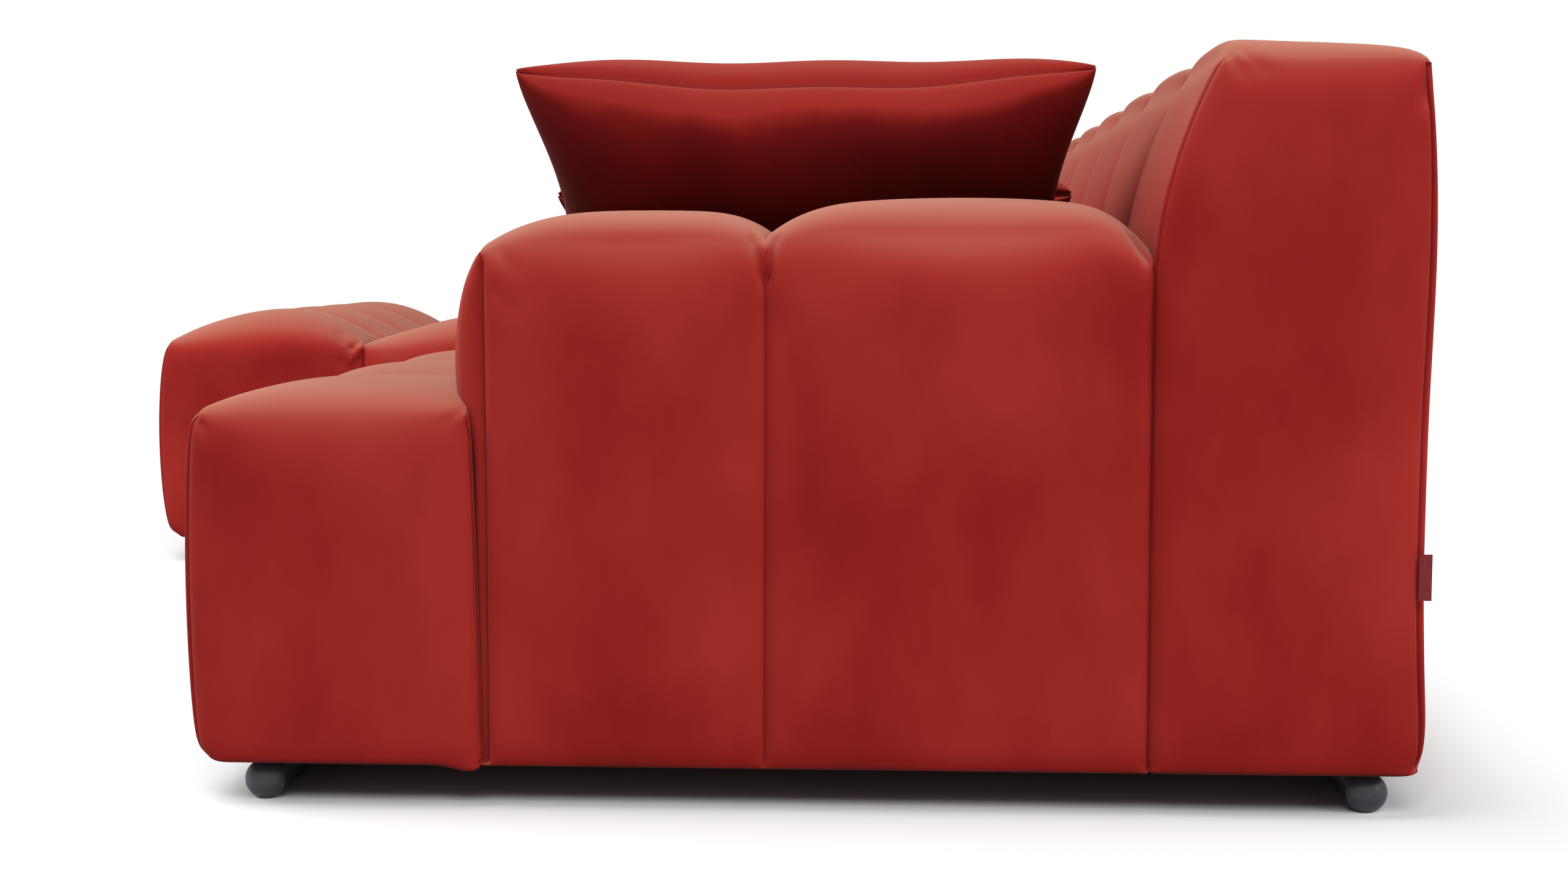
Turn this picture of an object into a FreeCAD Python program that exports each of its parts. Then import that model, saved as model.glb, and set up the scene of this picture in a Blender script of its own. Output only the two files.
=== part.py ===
import FreeCAD, Part
import math
import os

import Sketcher
from FreeCAD import Rotation, Vector

# Lounge sofa of two upholstered sections that hook together at one joint face.
# The main section carries the near arm (+X).
# The chaise section reaches further forward and carries the far arm.
# +X runs along the sofa to the near end, -Y is the seat's front, +Z is up.
# The origin is on the floor, under the middle of the sofa's outline.

# Driving sizes, in millimetres and degrees.
SIZES = {
    # whole sofa
    "main_length": 1610,
    "chaise_length": 800,
    "main_depth": 1200,
    "lounge_reach": 600,
    "joint_gap": 4,
    "seam_gap": 0.6,
    # seat
    "front_row_depth": 300,
    "lounge_row_depth": 350,
    "seat_foam_height": 197.5,
    "seat_quilt": 22,
    "seat_crown": 30,
    "lounge_crown": 46,
    "seat_groove": 14,
    "tuft_gap": 6,
    "front_bulge": 20,
    "front_shoulder": 42,
    "hem_round": 34,
    # backrest
    "back_depth": 266,
    "back_height": 748,
    "back_lean": 54,
    "back_knee": 212,
    "back_crown": 18,
    "back_rear_bulge": 14,
    "back_groove": 24,
    # armrests
    "arm_width": 322,
    "arm_height": 580,
    "arm_rear_rise": 8,
    "arm_front_lobe": 270,
    "arm_shoulder": 84,
    "arm_crown": 12,
    "arm_groove": 24,
    "arm_tail_drop": 56,
    "arm_nose": 34,
    # end panels of every lobe that shows its side
    "panel_edge": 16,
    "panel_inset": 12,
    "end_round": 36,
    # padding between the covers' outside and the frame
    "front_padding": 45,
    "end_padding": 40,
    "rear_padding": 30,
    "back_top_padding": 52,
    "arm_inner_padding": 45,
    "arm_front_padding": 35,
    "arm_top_padding": 60,
    "main_side_wall": 8,
    "chaise_side_wall": 30,
    # timber frame
    "rail_thick": 25,
    "rail_height": 120,
    "strut_drop": 30,
    "corner_block": 70,
    "post_width": 45,
    "post_depth": 70,
    "former_thick": 22,
    "back_panel_thick": 4,
    # webbing, foam and lining
    "webbing_width": 60,
    "webbing_thick": 2,
    "back_foam_thick": 60,
    "dust_cover_thick": 1.5,
    # feet
    "foot_diameter": 40,
    "foot_length": 200,
    "foot_dome": 12,
    "foot_inset": 20,
    "front_foot_setback": 73,
    "rear_foot_setback": 50,
    "foot_flat": 0.5,
    "foot_clearance": 2,
    "saddle_length": 120,
    "saddle_width": 24,
    # hook connectors between the sections
    "hook_width": 40,
    "hook_thick": 3,
    "hook_tongue": 30,
    "hook_play": 0.75,
    "hook_inset": 140,
    "hook_drop": 30,
    "receiver_height": 40,
    "receiver_thick": 2.5,
    "receiver_foot": 8,
    "lift_off": 45,
    # loose pillows
    "pillow_width": 620,
    "pillow_height": 400,
    "pillow_thick": 176,
    "pillow_draw": 26,
    "pillow_cover_thick": 3,
    "pillow_shift": 20,
    "pillow_clearance": 2,
    "pillow_lean_gap": 6,
    "upright_pillow_tilt": 40,
    "low_pillow_tilt": 68,
    # sewn side tag
    "tag_height": 44,
    "tag_width": 12,
    "tag_thick": 1.2,
    "tag_level": 211,
    # overshoot of every cut and play round the connectors
    "cut_over": 1,
    "window_play": 6,
}

# Places that follow from the sizes, as formulas of the second sheet.
PLACES = {
    "near_end": "(Size.main_length + Size.chaise_length) / 2",
    "joint": "near_end - Size.main_length",
    "main_joint": "joint + Size.joint_gap / 2",
    "chaise_joint": "joint - Size.joint_gap / 2",
    "main_span": "Size.main_length - Size.joint_gap / 2",
    "chaise_span": "Size.chaise_length - Size.joint_gap / 2",
    "rear": "(Size.main_depth + Size.lounge_reach) / 2",
    "main_front": "rear - Size.main_depth",
    "chaise_front": "0 - rear",
    "arm_front": "main_front + Size.front_row_depth",
    "arm_seam": "arm_front + Size.arm_front_lobe",
    "back_front": "rear - Size.back_depth",
    "under": "Size.foot_diameter + Size.foot_clearance",
    "rail_bottom": "under + Size.dust_cover_thick",
    "rail_top": "rail_bottom + Size.rail_height",
    "foam_bottom": "rail_top + 2 * Size.webbing_thick",
    "core_top": "foam_bottom + Size.seat_foam_height",
    "seat_seam": "core_top + Size.seat_quilt",
    "panel_rear": "rear - Size.rear_padding",
    "post_rear": "panel_rear - Size.back_panel_thick",
    "post_front": "post_rear - Size.post_depth",
    "strap_front": "post_front - Size.webbing_thick",
    "back_foam_front": "strap_front - Size.back_foam_thick",
    "frame_top": "Size.back_height - Size.back_top_padding",
    "board_top": "Size.arm_height - Size.arm_top_padding",
    "hook_level": "rail_top - Size.hook_drop",
}

# Counts of lobes, straps and posts.
MAIN_COLUMNS = 5
CHAISE_COLUMNS = 4
ARM_COLUMNS = 1
SEAT_ROWS = 2
LOUNGE_ROWS = 3
MAIN_POSTS = 4
CHAISE_POSTS = 3
BACK_STRAPS = 5
MAIN_STRAPS = 8
CHAISE_STRAPS = 5
CROSS_STRAPS = 5

# Shares of a lobe's pitch between which it is full, with a slope to the groove on either side.
LOBE_SHARES = (0.24, 0.76)
# Turns of a tuft's elliptic crown, in degrees from its sewn edge, at which an outline is drawn.
CROWN_TURNS = (0, 24, 48, 72)
# How full a lobe still is at the seam of its end panel.
END_SWELL = 0.8
# Share of the front's bulge that stays in the grooves between lobes.
GROOVE_BULGE = 0.4
# A front row's shoulder: how far it starts below the seam, and how far it is full.
SHOULDER_DROP = 0.7
SHOULDER_FILL = 0.22
# Nose of an armrest, front to rear: share of its reach, drop in grooves, inset in panel insets.
NOSE_STEPS = (
    (1.0, 2.0, 4.0),
    (0.6, 1.4, 2.0),
)
# Where the middle of a rounded shoulder lies, as a share of its radius in from both sides.
SHOULDER_TURN = 0.3
# Distance below which two points count as one.
SAME_PLACE = 1e-6
# Least rise of an arc that stands for an almost straight seam.
LEAST_RISE = 2.0
# Half a pillow, from its seam to its crown: shares of its half thickness and of its outline.
PILLOW_LAYERS = (
    (0.0, 1.0),
    (0.42, 0.92),
    (0.76, 0.74),
    (1.0, 0.4),
)

# Shares of a pillow's side at which its outline has a point.
PILLOW_SHARES = (0.0, 0.1, 0.3, 0.7, 0.9)

doc = FreeCAD.newDocument("lounge_sofa")
size_sheet = doc.addObject("Spreadsheet::Sheet", "Size")
place_sheet = doc.addObject("Spreadsheet::Sheet", "Place")
nodes = []


def fill_sheet(sheet, rows, mark):
    """Writes one alias and its value or formula on each row of a sheet."""
    for row, (alias, value) in enumerate(rows.items(), start=1):
        sheet.set(f"A{row}", alias)
        sheet.set(f"B{row}", f"{mark}{value}")
        sheet.setAlias(f"B{row}", alias)
    doc.recompute()


def size(alias):
    return float(size_sheet.get(alias))


def place(alias):
    return float(place_sheet.get(alias))


def keep(label, shape_object):
    """Names a finished sub-part and lists it for export."""
    shape_object.Label = label
    nodes.append(shape_object)
    return shape_object


def group(label, members):
    """Separate solids of one kind that share a node."""
    bundle = doc.addObject("Part::Compound", label)
    bundle.Links = members
    return keep(label, bundle)


def cut(label, base, tools):
    """The base solid with every tool solid taken away."""
    tool = tools[0]
    if len(tools) > 1:
        tool = doc.addObject("Part::MultiFuse", f"{label}_room")
        tool.Shapes = tools
    result = doc.addObject("Part::Cut", label)
    result.Base = base
    result.Tool = tool
    return result


def fuse(label, members):
    joined = doc.addObject("Part::MultiFuse", label)
    joined.Shapes = members
    joined.Refine = True
    return joined


class Section:
    """One half of the sofa. Distances along it run from its joint face out to its free end."""

    def __init__(self, name, arm, side, columns, posts, straps):
        self.name = name
        self.arm = arm
        self.side = side
        self.columns = columns
        self.posts = posts
        self.straps = straps
        self.joint = f"Place.{name}_joint"
        self.span = f"Place.{name}_span"
        self.front = f"Place.{name}_front"
        self.wall = f"Size.{name}_side_wall"
        self.end = f"{self.span} - Size.end_padding"
        self.arm_inside = f"{self.span} - Size.arm_width"
        self.arm_room = f"{self.arm_inside} + Size.arm_inner_padding"

    def x(self, along):
        """X of a distance along the section, from the sheets' values."""
        return place(f"{self.name}_joint") + self.side * along

    def start(self, low, high):
        """Expression for the lower X of a stretch along the section."""
        if self.side > 0:
            return f"{self.joint} + ({low})"
        return f"{self.joint} - ({high})"


def block(section, label, along, across, upward):
    """A box bound to the sheets: a stretch along the section, one across it in Y and one up in Z."""
    box = doc.addObject("Part::Box", label)
    box.setExpression("Length", f"({along[1]}) - ({along[0]})")
    box.setExpression("Width", f"({across[1]}) - ({across[0]})")
    box.setExpression("Height", f"({upward[1]}) - ({upward[0]})")
    box.setExpression("Placement.Base.x", section.start(*along))
    box.setExpression("Placement.Base.y", across[0])
    box.setExpression("Placement.Base.z", upward[0])
    return box


def around(middle, width):
    """A stretch of a given width about its middle, as expressions."""
    return (f"{middle} - {width} / 2", f"{middle} + {width} / 2")


def outline(lift, start, *steps):
    """Edges of a closed section. Each step is a line's end, or an arc's middle and end, in its own plane."""
    edges = []
    here = lift(start)
    for step in steps + ((start,),):
        points = [lift(point) for point in step]
        if len(points) == 1:
            edges.append(Part.LineSegment(here, points[0]).toShape())
        else:
            edges.append(Part.Arc(here, *points).toShape())
        here = points[-1]
    return edges


def at_x(x):
    return lambda point: Vector(x, point[0], point[1])


def on_edge(edge, share):
    return edge.valueAt(edge.FirstParameter + share * (edge.LastParameter - edge.FirstParameter))


def strip(edge, other):
    """Faces between two edges of neighbouring sections: swept or flat where they can be, else ruled."""
    first, middle, last = [[on_edge(item, share) for item in (edge, other)] for share in (0.0, 0.5, 1.0)]
    if isinstance(edge.Curve, Part.Line) and isinstance(other.Curve, Part.Line):
        return flat_faces(first[0], last[0], last[1], first[1])
    move = first[1] - first[0]
    normal = (middle[0] - first[0]).cross(last[0] - first[0])
    spread = max((middle[1] - middle[0] - move).Length, (last[1] - last[0] - move).Length)
    if spread < SAME_PLACE and move.cross(normal).Length < SAME_PLACE * normal.Length:
        return [edge.extrude(move)]
    return [Part.makeRuledSurface(edge, other)]


def flat_faces(first, second, third, fourth):
    """One flat face on four corners, or two where they don't lie in one plane."""
    normal = (second - first).cross(fourth - first).normalize()
    loops = ((first, second, third), (first, third, fourth))
    if abs(normal.dot(third - first)) < SAME_PLACE:
        loops = ((first, second, third, fourth),)
    return [Part.Face(Part.makePolygon(loop + loop[:1])) for loop in loops]


def loft(sections):
    """A closed solid through sections that share their number of edges."""
    faces = [Part.Face(Part.Wire(sections[0])), Part.Face(Part.Wire(sections[-1]))]
    for section, following in zip(sections, sections[1:]):
        for edge, other in zip(section, following):
            faces += strip(edge, other)
    shell = Part.makeShell(faces)
    shell.sewShape()
    solid = Part.makeSolid(shell)
    if solid.Volume < 0:
        solid.reverse()
    return solid


def form(label, solids):
    """An upholstered shape, made of lobes that are sewn together into one solid."""
    shape = solids[0]
    if len(solids) > 1:
        shape = shape.multiFuse(solids[1:])
    shape = shape.removeSplitter()
    feature = doc.addObject("Part::Feature", label)
    feature.Shape = shape.Solids[0]
    feature.Placement = FreeCAD.Placement()
    return feature


def tuft(lift, first, second, rise):
    """A crowned cell over a rectangle of two stretches: outlines that shrink as they rise."""
    middles = (sum(first) / 2, sum(second) / 2)
    halves = ((first[1] - first[0]) / 2, (second[1] - second[0]) / 2)
    top = math.sin(math.radians(CROWN_TURNS[-1]))
    sections = []
    for turn in map(math.radians, CROWN_TURNS):
        corners = []
        for u, v in ((-1, -1), (1, -1), (1, 1), (-1, 1)):
            across = middles[0] + u * halves[0] * math.cos(turn)
            along = middles[1] + v * halves[1] * math.cos(turn)
            corners.append((across, along, rise * math.sin(turn) / top))
        sections.append(outline(lift, corners[0], *[(corner,) for corner in corners[1:]]))
    return loft(sections)


def run(start, stop, columns, free_start=False, free_stop=False):
    """Stations (place, swell, closing) along a row of lobes. The top falls over a free end as it closes."""
    pitch = (stop - start) / columns
    edge = size("end_round")
    stations = [(start, 0.0, 0.0)]
    if free_start:
        stations = [(start, END_SWELL, 1.0), (start + edge, END_SWELL, 0.0)]
    for column in range(columns):
        stations += [(start + pitch * (column + share), 1.0, 0.0) for share in LOBE_SHARES]
        stations += [(start + pitch * (column + 1), 0.0, 0.0)]
    if free_stop:
        stations[-1:] = [(stop - edge, END_SWELL, 0.0), (stop, END_SWELL, 1.0)]
    return stations


def front_section(x, front, rear, full_crown, swell, closing):
    """Full-height section of a front row: flat hem, bulged front, round shoulder and crowned top."""
    inset = size("panel_inset") * closing
    low = place("under") + inset
    seam = place("seat_seam") - size("end_round") * closing
    bulge = size("front_bulge") * (GROOVE_BULGE + (1 - GROOVE_BULGE) * swell)
    crown = max(LEAST_RISE, full_crown * swell)
    hem_face = front + size("front_bulge") + inset
    face = hem_face + size("seat_groove") * (1 - swell)
    back = rear - inset
    hem = size("hem_round")
    shoulder = size("front_shoulder")
    shoulder_low = seam - SHOULDER_DROP * shoulder
    shoulder_high = seam + crown / 2
    shoulder_full = (shoulder_low + 2 * shoulder_high) / 3
    turn = 1 - math.cos(math.pi / 4)
    return outline(
        at_x(x),
        (back, low),
        ((hem_face + hem, low),),
        ((hem_face + turn * hem, low + turn * hem), (hem_face, low + hem)),
        (((hem_face + face) / 2 - bulge, (low + hem + shoulder_low) / 2), (face, shoulder_low)),
        ((face + SHOULDER_FILL * shoulder, shoulder_full), (face + shoulder, shoulder_high)),
        (((face + shoulder + back) / 2, seam + crown), (back, seam)),
    )


def back_section(x, swell, closing):
    """Section of the backrest: plain rear, crowned top, a front that leans back above the knee."""
    inset = size("panel_inset") * closing
    low = place("under") + inset
    rear = place("rear") - size("back_rear_bulge") - inset
    groove = size("back_groove") * (1 - swell)
    front = place("back_front") + groove + inset
    crest = size("back_height") - groove - size("end_round") * closing
    ear = crest - size("back_crown")
    ear_front = front + size("back_lean") - groove / 3
    knee = ear - size("back_knee")
    lean_bulge = size("back_lean") / 4
    return outline(
        at_x(x),
        (front, low),
        ((rear, low),),
        ((rear + size("back_rear_bulge"), (low + ear) / 2), (rear, ear)),
        (((rear + ear_front) / 2, crest), (ear_front, ear)),
        (((front + ear_front) / 2 - lean_bulge, (knee + ear) / 2 + lean_bulge), (front, knee)),
    )


def arm_section(section, y, low, crest, inset):
    """Section across an armrest: upright sides, round shoulders and a crowned top."""
    inner = size("arm_width") - inset
    bottom = low + inset
    shoulder = min(size("arm_shoulder"), 0.8 * (crest - bottom))
    level = crest - size("arm_crown")
    base = crest - shoulder
    turn = SHOULDER_TURN * shoulder
    arm_inside = place(f"{section.name}_span") - size("arm_width")

    def lift(point):
        return Vector(section.x(arm_inside + point[0]), y, point[1])

    return outline(
        lift,
        (inset, bottom),
        ((inner, bottom),),
        ((inner, base),),
        ((inner - turn, level - turn), (inner - shoulder, level)),
        ((size("arm_width") / 2, crest), (inset + shoulder, level)),
        ((inset + turn, level - turn), (inset, base)),
    )


def make_frame(section):
    """Timber base: front, rear, end, joint and seat rails, struts and glued corner blocks."""
    name = section.name
    rails = ("Place.rail_bottom", "Place.rail_top")
    whole = (section.wall, section.end)
    front_inside = f"{section.front} + Size.front_padding + Size.rail_thick"
    rear_inside = "Place.post_rear - Size.rail_thick"
    seat_rail_front = "Place.back_front + Size.rail_thick"
    joint_inside = f"{section.wall} + Size.rail_thick"
    strut = around(section.arm_room, "Size.rail_thick")

    keep(f"{name}_front_rail", block(
        section, f"{name}_front_rail", whole, (f"{section.front} + Size.front_padding", front_inside), rails))
    keep(f"{name}_rear_rail", block(
        section, f"{name}_rear_rail", whole, (rear_inside, "Place.post_rear"), rails))
    keep(f"{name}_end_rail", block(
        section, f"{name}_end_rail", (f"{section.end} - Size.rail_thick", section.end),
        (front_inside, rear_inside), rails))
    keep(f"{name}_joint_rail", block(
        section, f"{name}_joint_rail", (section.wall, joint_inside), (front_inside, rear_inside), rails))
    keep(f"{name}_seat_rail", block(
        section, f"{name}_seat_rail", (joint_inside, strut[0]),
        (seat_rail_front, f"{seat_rail_front} + Size.rail_thick"), rails))

    arm_strut = block(section, f"{name}_arm_strut", strut, (front_inside, rear_inside), rails)
    middle = f"({joint_inside} + {section.arm_room}) / 2"
    middle_strut = block(
        section, f"{name}_middle_strut", around(middle, "Size.rail_thick"), (front_inside, seat_rail_front),
        ("Place.rail_bottom", "Place.rail_top - Size.strut_drop"))
    group(f"{name}_struts", [arm_strut, middle_strut])

    near_x = section.start(joint_inside, joint_inside)
    end_x = section.start(f"{section.end} - Size.rail_thick", f"{section.end} - Size.rail_thick")
    left, right = (near_x, end_x) if section.side > 0 else (end_x, near_x)
    corners = (
        (left, front_inside, 0),
        (right, front_inside, 90),
        (right, rear_inside, 180),
        (left, rear_inside, 270),
    )
    blocks = [corner_block(f"{name}_corner_{turn}", x, y, turn) for x, y, turn in corners]
    group(f"{name}_corner_blocks", blocks)


def corner_block(label, x, y, turn):
    """A right-angled wedge glued upright into a corner of the base."""
    wedge = doc.addObject("Part::Wedge", label)
    for bound in ("Xmin", "Ymin", "Zmin", "X2min", "X2max", "Z2min"):
        setattr(wedge, bound, 0)
    for bound in ("Xmax", "Ymax"):
        wedge.setExpression(bound, "Size.corner_block")
    for bound in ("Zmax", "Z2max"):
        wedge.setExpression(bound, "Size.rail_height - Size.strut_drop")
    wedge.Placement = FreeCAD.Placement(Vector(0, 0, 0), Rotation(Vector(0, 0, 1), turn))
    wedge.setExpression("Placement.Base.x", x)
    wedge.setExpression("Placement.Base.y", y)
    wedge.setExpression("Placement.Base.z", "Place.rail_bottom")
    return wedge


def make_seat_support(section):
    """Elastic straps over the rails, the foam core that they carry and the dust cover below the base."""
    name = section.name
    strap_from = f"({section.wall} + Size.rail_thick)"
    strap_room = f"({section.arm_room} - {strap_from})"
    front_edge = f"{section.front} + Size.front_padding"
    rear_edge = "Place.back_front + 2 * Size.rail_thick"
    straps = []
    for number in range(section.straps):
        middle = f"{strap_from} + {strap_room} * {number + 0.5} / {section.straps}"
        straps.append(block(
            section, f"{name}_long_strap_{number}", around(middle, "Size.webbing_width"),
            (front_edge, rear_edge), ("Place.rail_top", "Place.rail_top + Size.webbing_thick")))
    for number in range(CROSS_STRAPS):
        middle = f"{front_edge} + ({rear_edge} - ({front_edge})) * {number + 0.5} / {CROSS_STRAPS}"
        straps.append(block(
            section, f"{name}_cross_strap_{number}", (section.wall, section.arm_room),
            around(middle, "Size.webbing_width"),
            ("Place.rail_top + Size.webbing_thick", "Place.foam_bottom")))
    group(f"{name}_seat_webbing", straps)

    core = ("Place.foam_bottom", "Place.core_top")
    front_core = block(
        section, f"{name}_front_core", (section.wall, section.end), (front_edge, "Place.arm_front"), core)
    rear_core = block(
        section, f"{name}_rear_core", (section.wall, section.arm_room),
        ("Place.arm_front", "Place.back_foam_front"), core)
    keep(f"{name}_seat_foam", fuse(f"{name}_seat_foam", [front_core, rear_core]))
    keep(f"{name}_dust_cover", block(
        section, f"{name}_dust_cover", (section.wall, section.end), (front_edge, "Place.panel_rear"),
        ("Place.under", "Place.rail_bottom")))


def make_back(section):
    """Backrest: posts, top rail, rear panel, straps and foam inside a channelled cover."""
    name = section.name
    whole = (section.wall, section.end)
    first = section.wall
    reach = f"({section.end} - ({section.wall}) - Size.post_width)"
    posts = []
    for number in range(section.posts):
        foot = f"{first} + {reach} * {number} / {section.posts - 1}"
        posts.append(block(
            section, f"{name}_post_{number}", (foot, f"{foot} + Size.post_width"),
            ("Place.post_front", "Place.post_rear"), ("Place.rail_top", "Place.frame_top - Size.rail_thick")))
    group(f"{name}_back_posts", posts)
    keep(f"{name}_back_top_rail", block(
        section, f"{name}_back_top_rail", whole, ("Place.post_front", "Place.post_rear"),
        ("Place.frame_top - Size.rail_thick", "Place.frame_top")))
    keep(f"{name}_back_panel", block(
        section, f"{name}_back_panel", whole, ("Place.post_rear", "Place.panel_rear"),
        ("Place.rail_bottom", "Place.frame_top")))
    straps = []
    for number in range(BACK_STRAPS):
        level = f"Place.core_top + (Place.frame_top - Place.core_top) * {number + 0.5} / {BACK_STRAPS}"
        straps.append(block(
            section, f"{name}_back_strap_{number}", whole, ("Place.strap_front", "Place.post_front"),
            around(level, "Size.webbing_width")))
    group(f"{name}_back_webbing", straps)
    keep(f"{name}_back_foam", block(
        section, f"{name}_back_foam", whole, ("Place.back_foam_front", "Place.strap_front"),
        ("Place.core_top", "Place.frame_top")))

    stations = run(0, place(f"{name}_span"), section.columns, free_stop=True)
    sections = [back_section(section.x(along), swell, closing) for along, swell, closing in stations]
    outside = form(f"{name}_back_form", [loft(sections)])
    room = block(
        section, f"{name}_back_room", whole, ("Place.back_foam_front", "Place.panel_rear"),
        ("Place.under - Size.cut_over", "Place.frame_top"))
    base_room = block(
        section, f"{name}_back_base_room", whole, ("Place.back_front - Size.cut_over", "Place.panel_rear"),
        ("Place.under - Size.cut_over", "Place.core_top"))
    return keep(f"{name}_back_pad", cut(f"{name}_back_pad", outside, [room, base_room]))


def tufted_slab(section, columns, stop, rows, crowns, low):
    """A slab with one crowned tuft on top for each column and row, as far along the section as stop."""
    seam = place("seat_seam")
    gap = size("tuft_gap") / 2
    pitch = stop / columns
    corner = Vector(min(section.x(0), section.x(stop)), rows[0][0], low)
    solids = [Part.makeBox(stop, rows[-1][1] - rows[0][0], seam - low, corner)]

    def lift(corner):
        along, y, rise = corner
        return Vector(section.x(along), y, seam + rise)

    for column in range(columns):
        stretch = (pitch * column + gap, pitch * (column + 1) - gap)
        for (front, rear), crown in zip(rows, crowns):
            solids.append(tuft(lift, stretch, (front + gap, rear - gap), crown))
    return solids


def make_seat(section, rows):
    """Front rows with full-height sides, and the tufted top of the rows between arm and joint."""
    name = section.name
    span = place(f"{name}_span")
    front, rear = rows[0]
    crowns = [size("lounge_crown")] * (len(rows) - 1) + [size("seat_crown")]
    stations = run(0, span, section.columns, free_start=len(rows) > 1, free_stop=True)
    solids = [loft([
        front_section(section.x(along), front, rear, crowns[0], swell, closing)
        for along, swell, closing in stations])]
    if len(rows) > 1:
        solids += tufted_slab(section, section.columns, span, rows[1:], crowns[1:], place("under"))
    outside = form(f"{name}_front_form", solids)
    room = block(
        section, f"{name}_front_room", (section.wall, section.end),
        (f"{section.front} + Size.front_padding", "Place.arm_front + Size.cut_over"),
        ("Place.under - Size.cut_over", "Place.core_top"))
    keep(f"{name}_front_pad", cut(f"{name}_front_pad", outside, [room]))

    gap = size("seam_gap")
    first = place("arm_front")
    depth = (place("back_front") - gap - first) / SEAT_ROWS
    seat_rows = [(first + depth * row, first + depth * (row + 1)) for row in range(SEAT_ROWS)]
    solids = tufted_slab(
        section, section.columns - ARM_COLUMNS, span - size("arm_width") - gap, seat_rows,
        [size("seat_crown")] * SEAT_ROWS, place("core_top"))
    keep(f"{name}_seat_pad", form(f"{name}_seat_pad", solids))


def make_arm(section):
    """Armrest: plywood formers under a board, wrapped by a front lobe with a nose and a rear lobe."""
    arm = section.arm
    across_room = (section.arm_room, section.end)
    former_front = "Place.arm_front + Size.arm_front_padding"
    former_last = "Place.back_front - Size.former_thick - Size.seam_gap"
    formers = []
    for number, foot in enumerate((former_front, "Place.arm_seam - Size.former_thick / 2", former_last)):
        formers.append(block(
            section, f"{arm}_former_{number}", across_room, (foot, f"{foot} + Size.former_thick"),
            ("Place.rail_top", "Place.board_top - Size.former_thick")))
    group(f"{arm}_arm_formers", formers)
    keep(f"{arm}_arm_board", block(
        section, f"{arm}_arm_board", across_room, (former_front, "Place.back_front - Size.seam_gap"),
        ("Place.board_top - Size.former_thick", "Place.board_top")))

    under = place("under")
    front = place("arm_front")
    seam = place("arm_seam")
    rear = place("back_front") - size("seam_gap")
    edge = size("panel_edge")
    inset = size("panel_inset")
    crest = size("arm_height")
    rear_crest = crest + size("arm_rear_rise")
    groove = size("arm_groove")
    side_groove = inset / 2

    def full(start, stop, top):
        """Stations (place, crest, inset) between which a lobe is full."""
        return [(start + (stop - start) * share, top, 0.0) for share in LOBE_SHARES]

    front_run = [(front, crest - groove, inset), (front + edge, crest - groove / 2, 0.0)]
    front_run += full(front, seam, crest)
    front_run += [(seam, crest - groove, side_groove)]
    rear_run = [(seam, crest - groove, side_groove)]
    rear_run += full(seam, rear, rear_crest)
    rear_run += [(rear, rear_crest - size("arm_tail_drop"), side_groove)]
    nose_low = place("seat_seam") + edge
    nose_run = [
        (front - reach * size("arm_nose"), crest - drop * groove, gap * inset)
        for reach, drop, gap in NOSE_STEPS
    ]
    nose_run += [(front + edge, crest - 1.2 * groove, 1.5 * inset)]
    front_lobe = loft([arm_section(section, y, under, top, gap) for y, top, gap in front_run])
    nose = loft([arm_section(section, y, nose_low, top, gap) for y, top, gap in nose_run])
    rear_lobe = loft([arm_section(section, y, under, top, gap) for y, top, gap in rear_run])

    lobes = (("front", [front_lobe, nose]), ("rear", [rear_lobe]))
    reach = ("Place.arm_front - Size.cut_over", "Place.back_front + Size.cut_over")
    for end, solids in lobes:
        label = f"{arm}_arm_{end}_pad"
        outside = form(f"{label}_form", solids)
        upper_room = block(
            section, f"{label}_upper_room", across_room, (former_front, reach[1]),
            ("Place.under - Size.cut_over", "Place.board_top"))
        rail_room = block(
            section, f"{label}_rail_room", across_room, reach,
            ("Place.under - Size.cut_over", "Place.rail_top"))
        foam_room = block(
            section, f"{label}_foam_room", (f"{section.arm_inside} - Size.cut_over", section.arm_room), reach,
            ("Place.under - Size.cut_over", "Place.core_top"))
        keep(label, cut(label, outside, [upper_room, rail_room, foam_room]))


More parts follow.
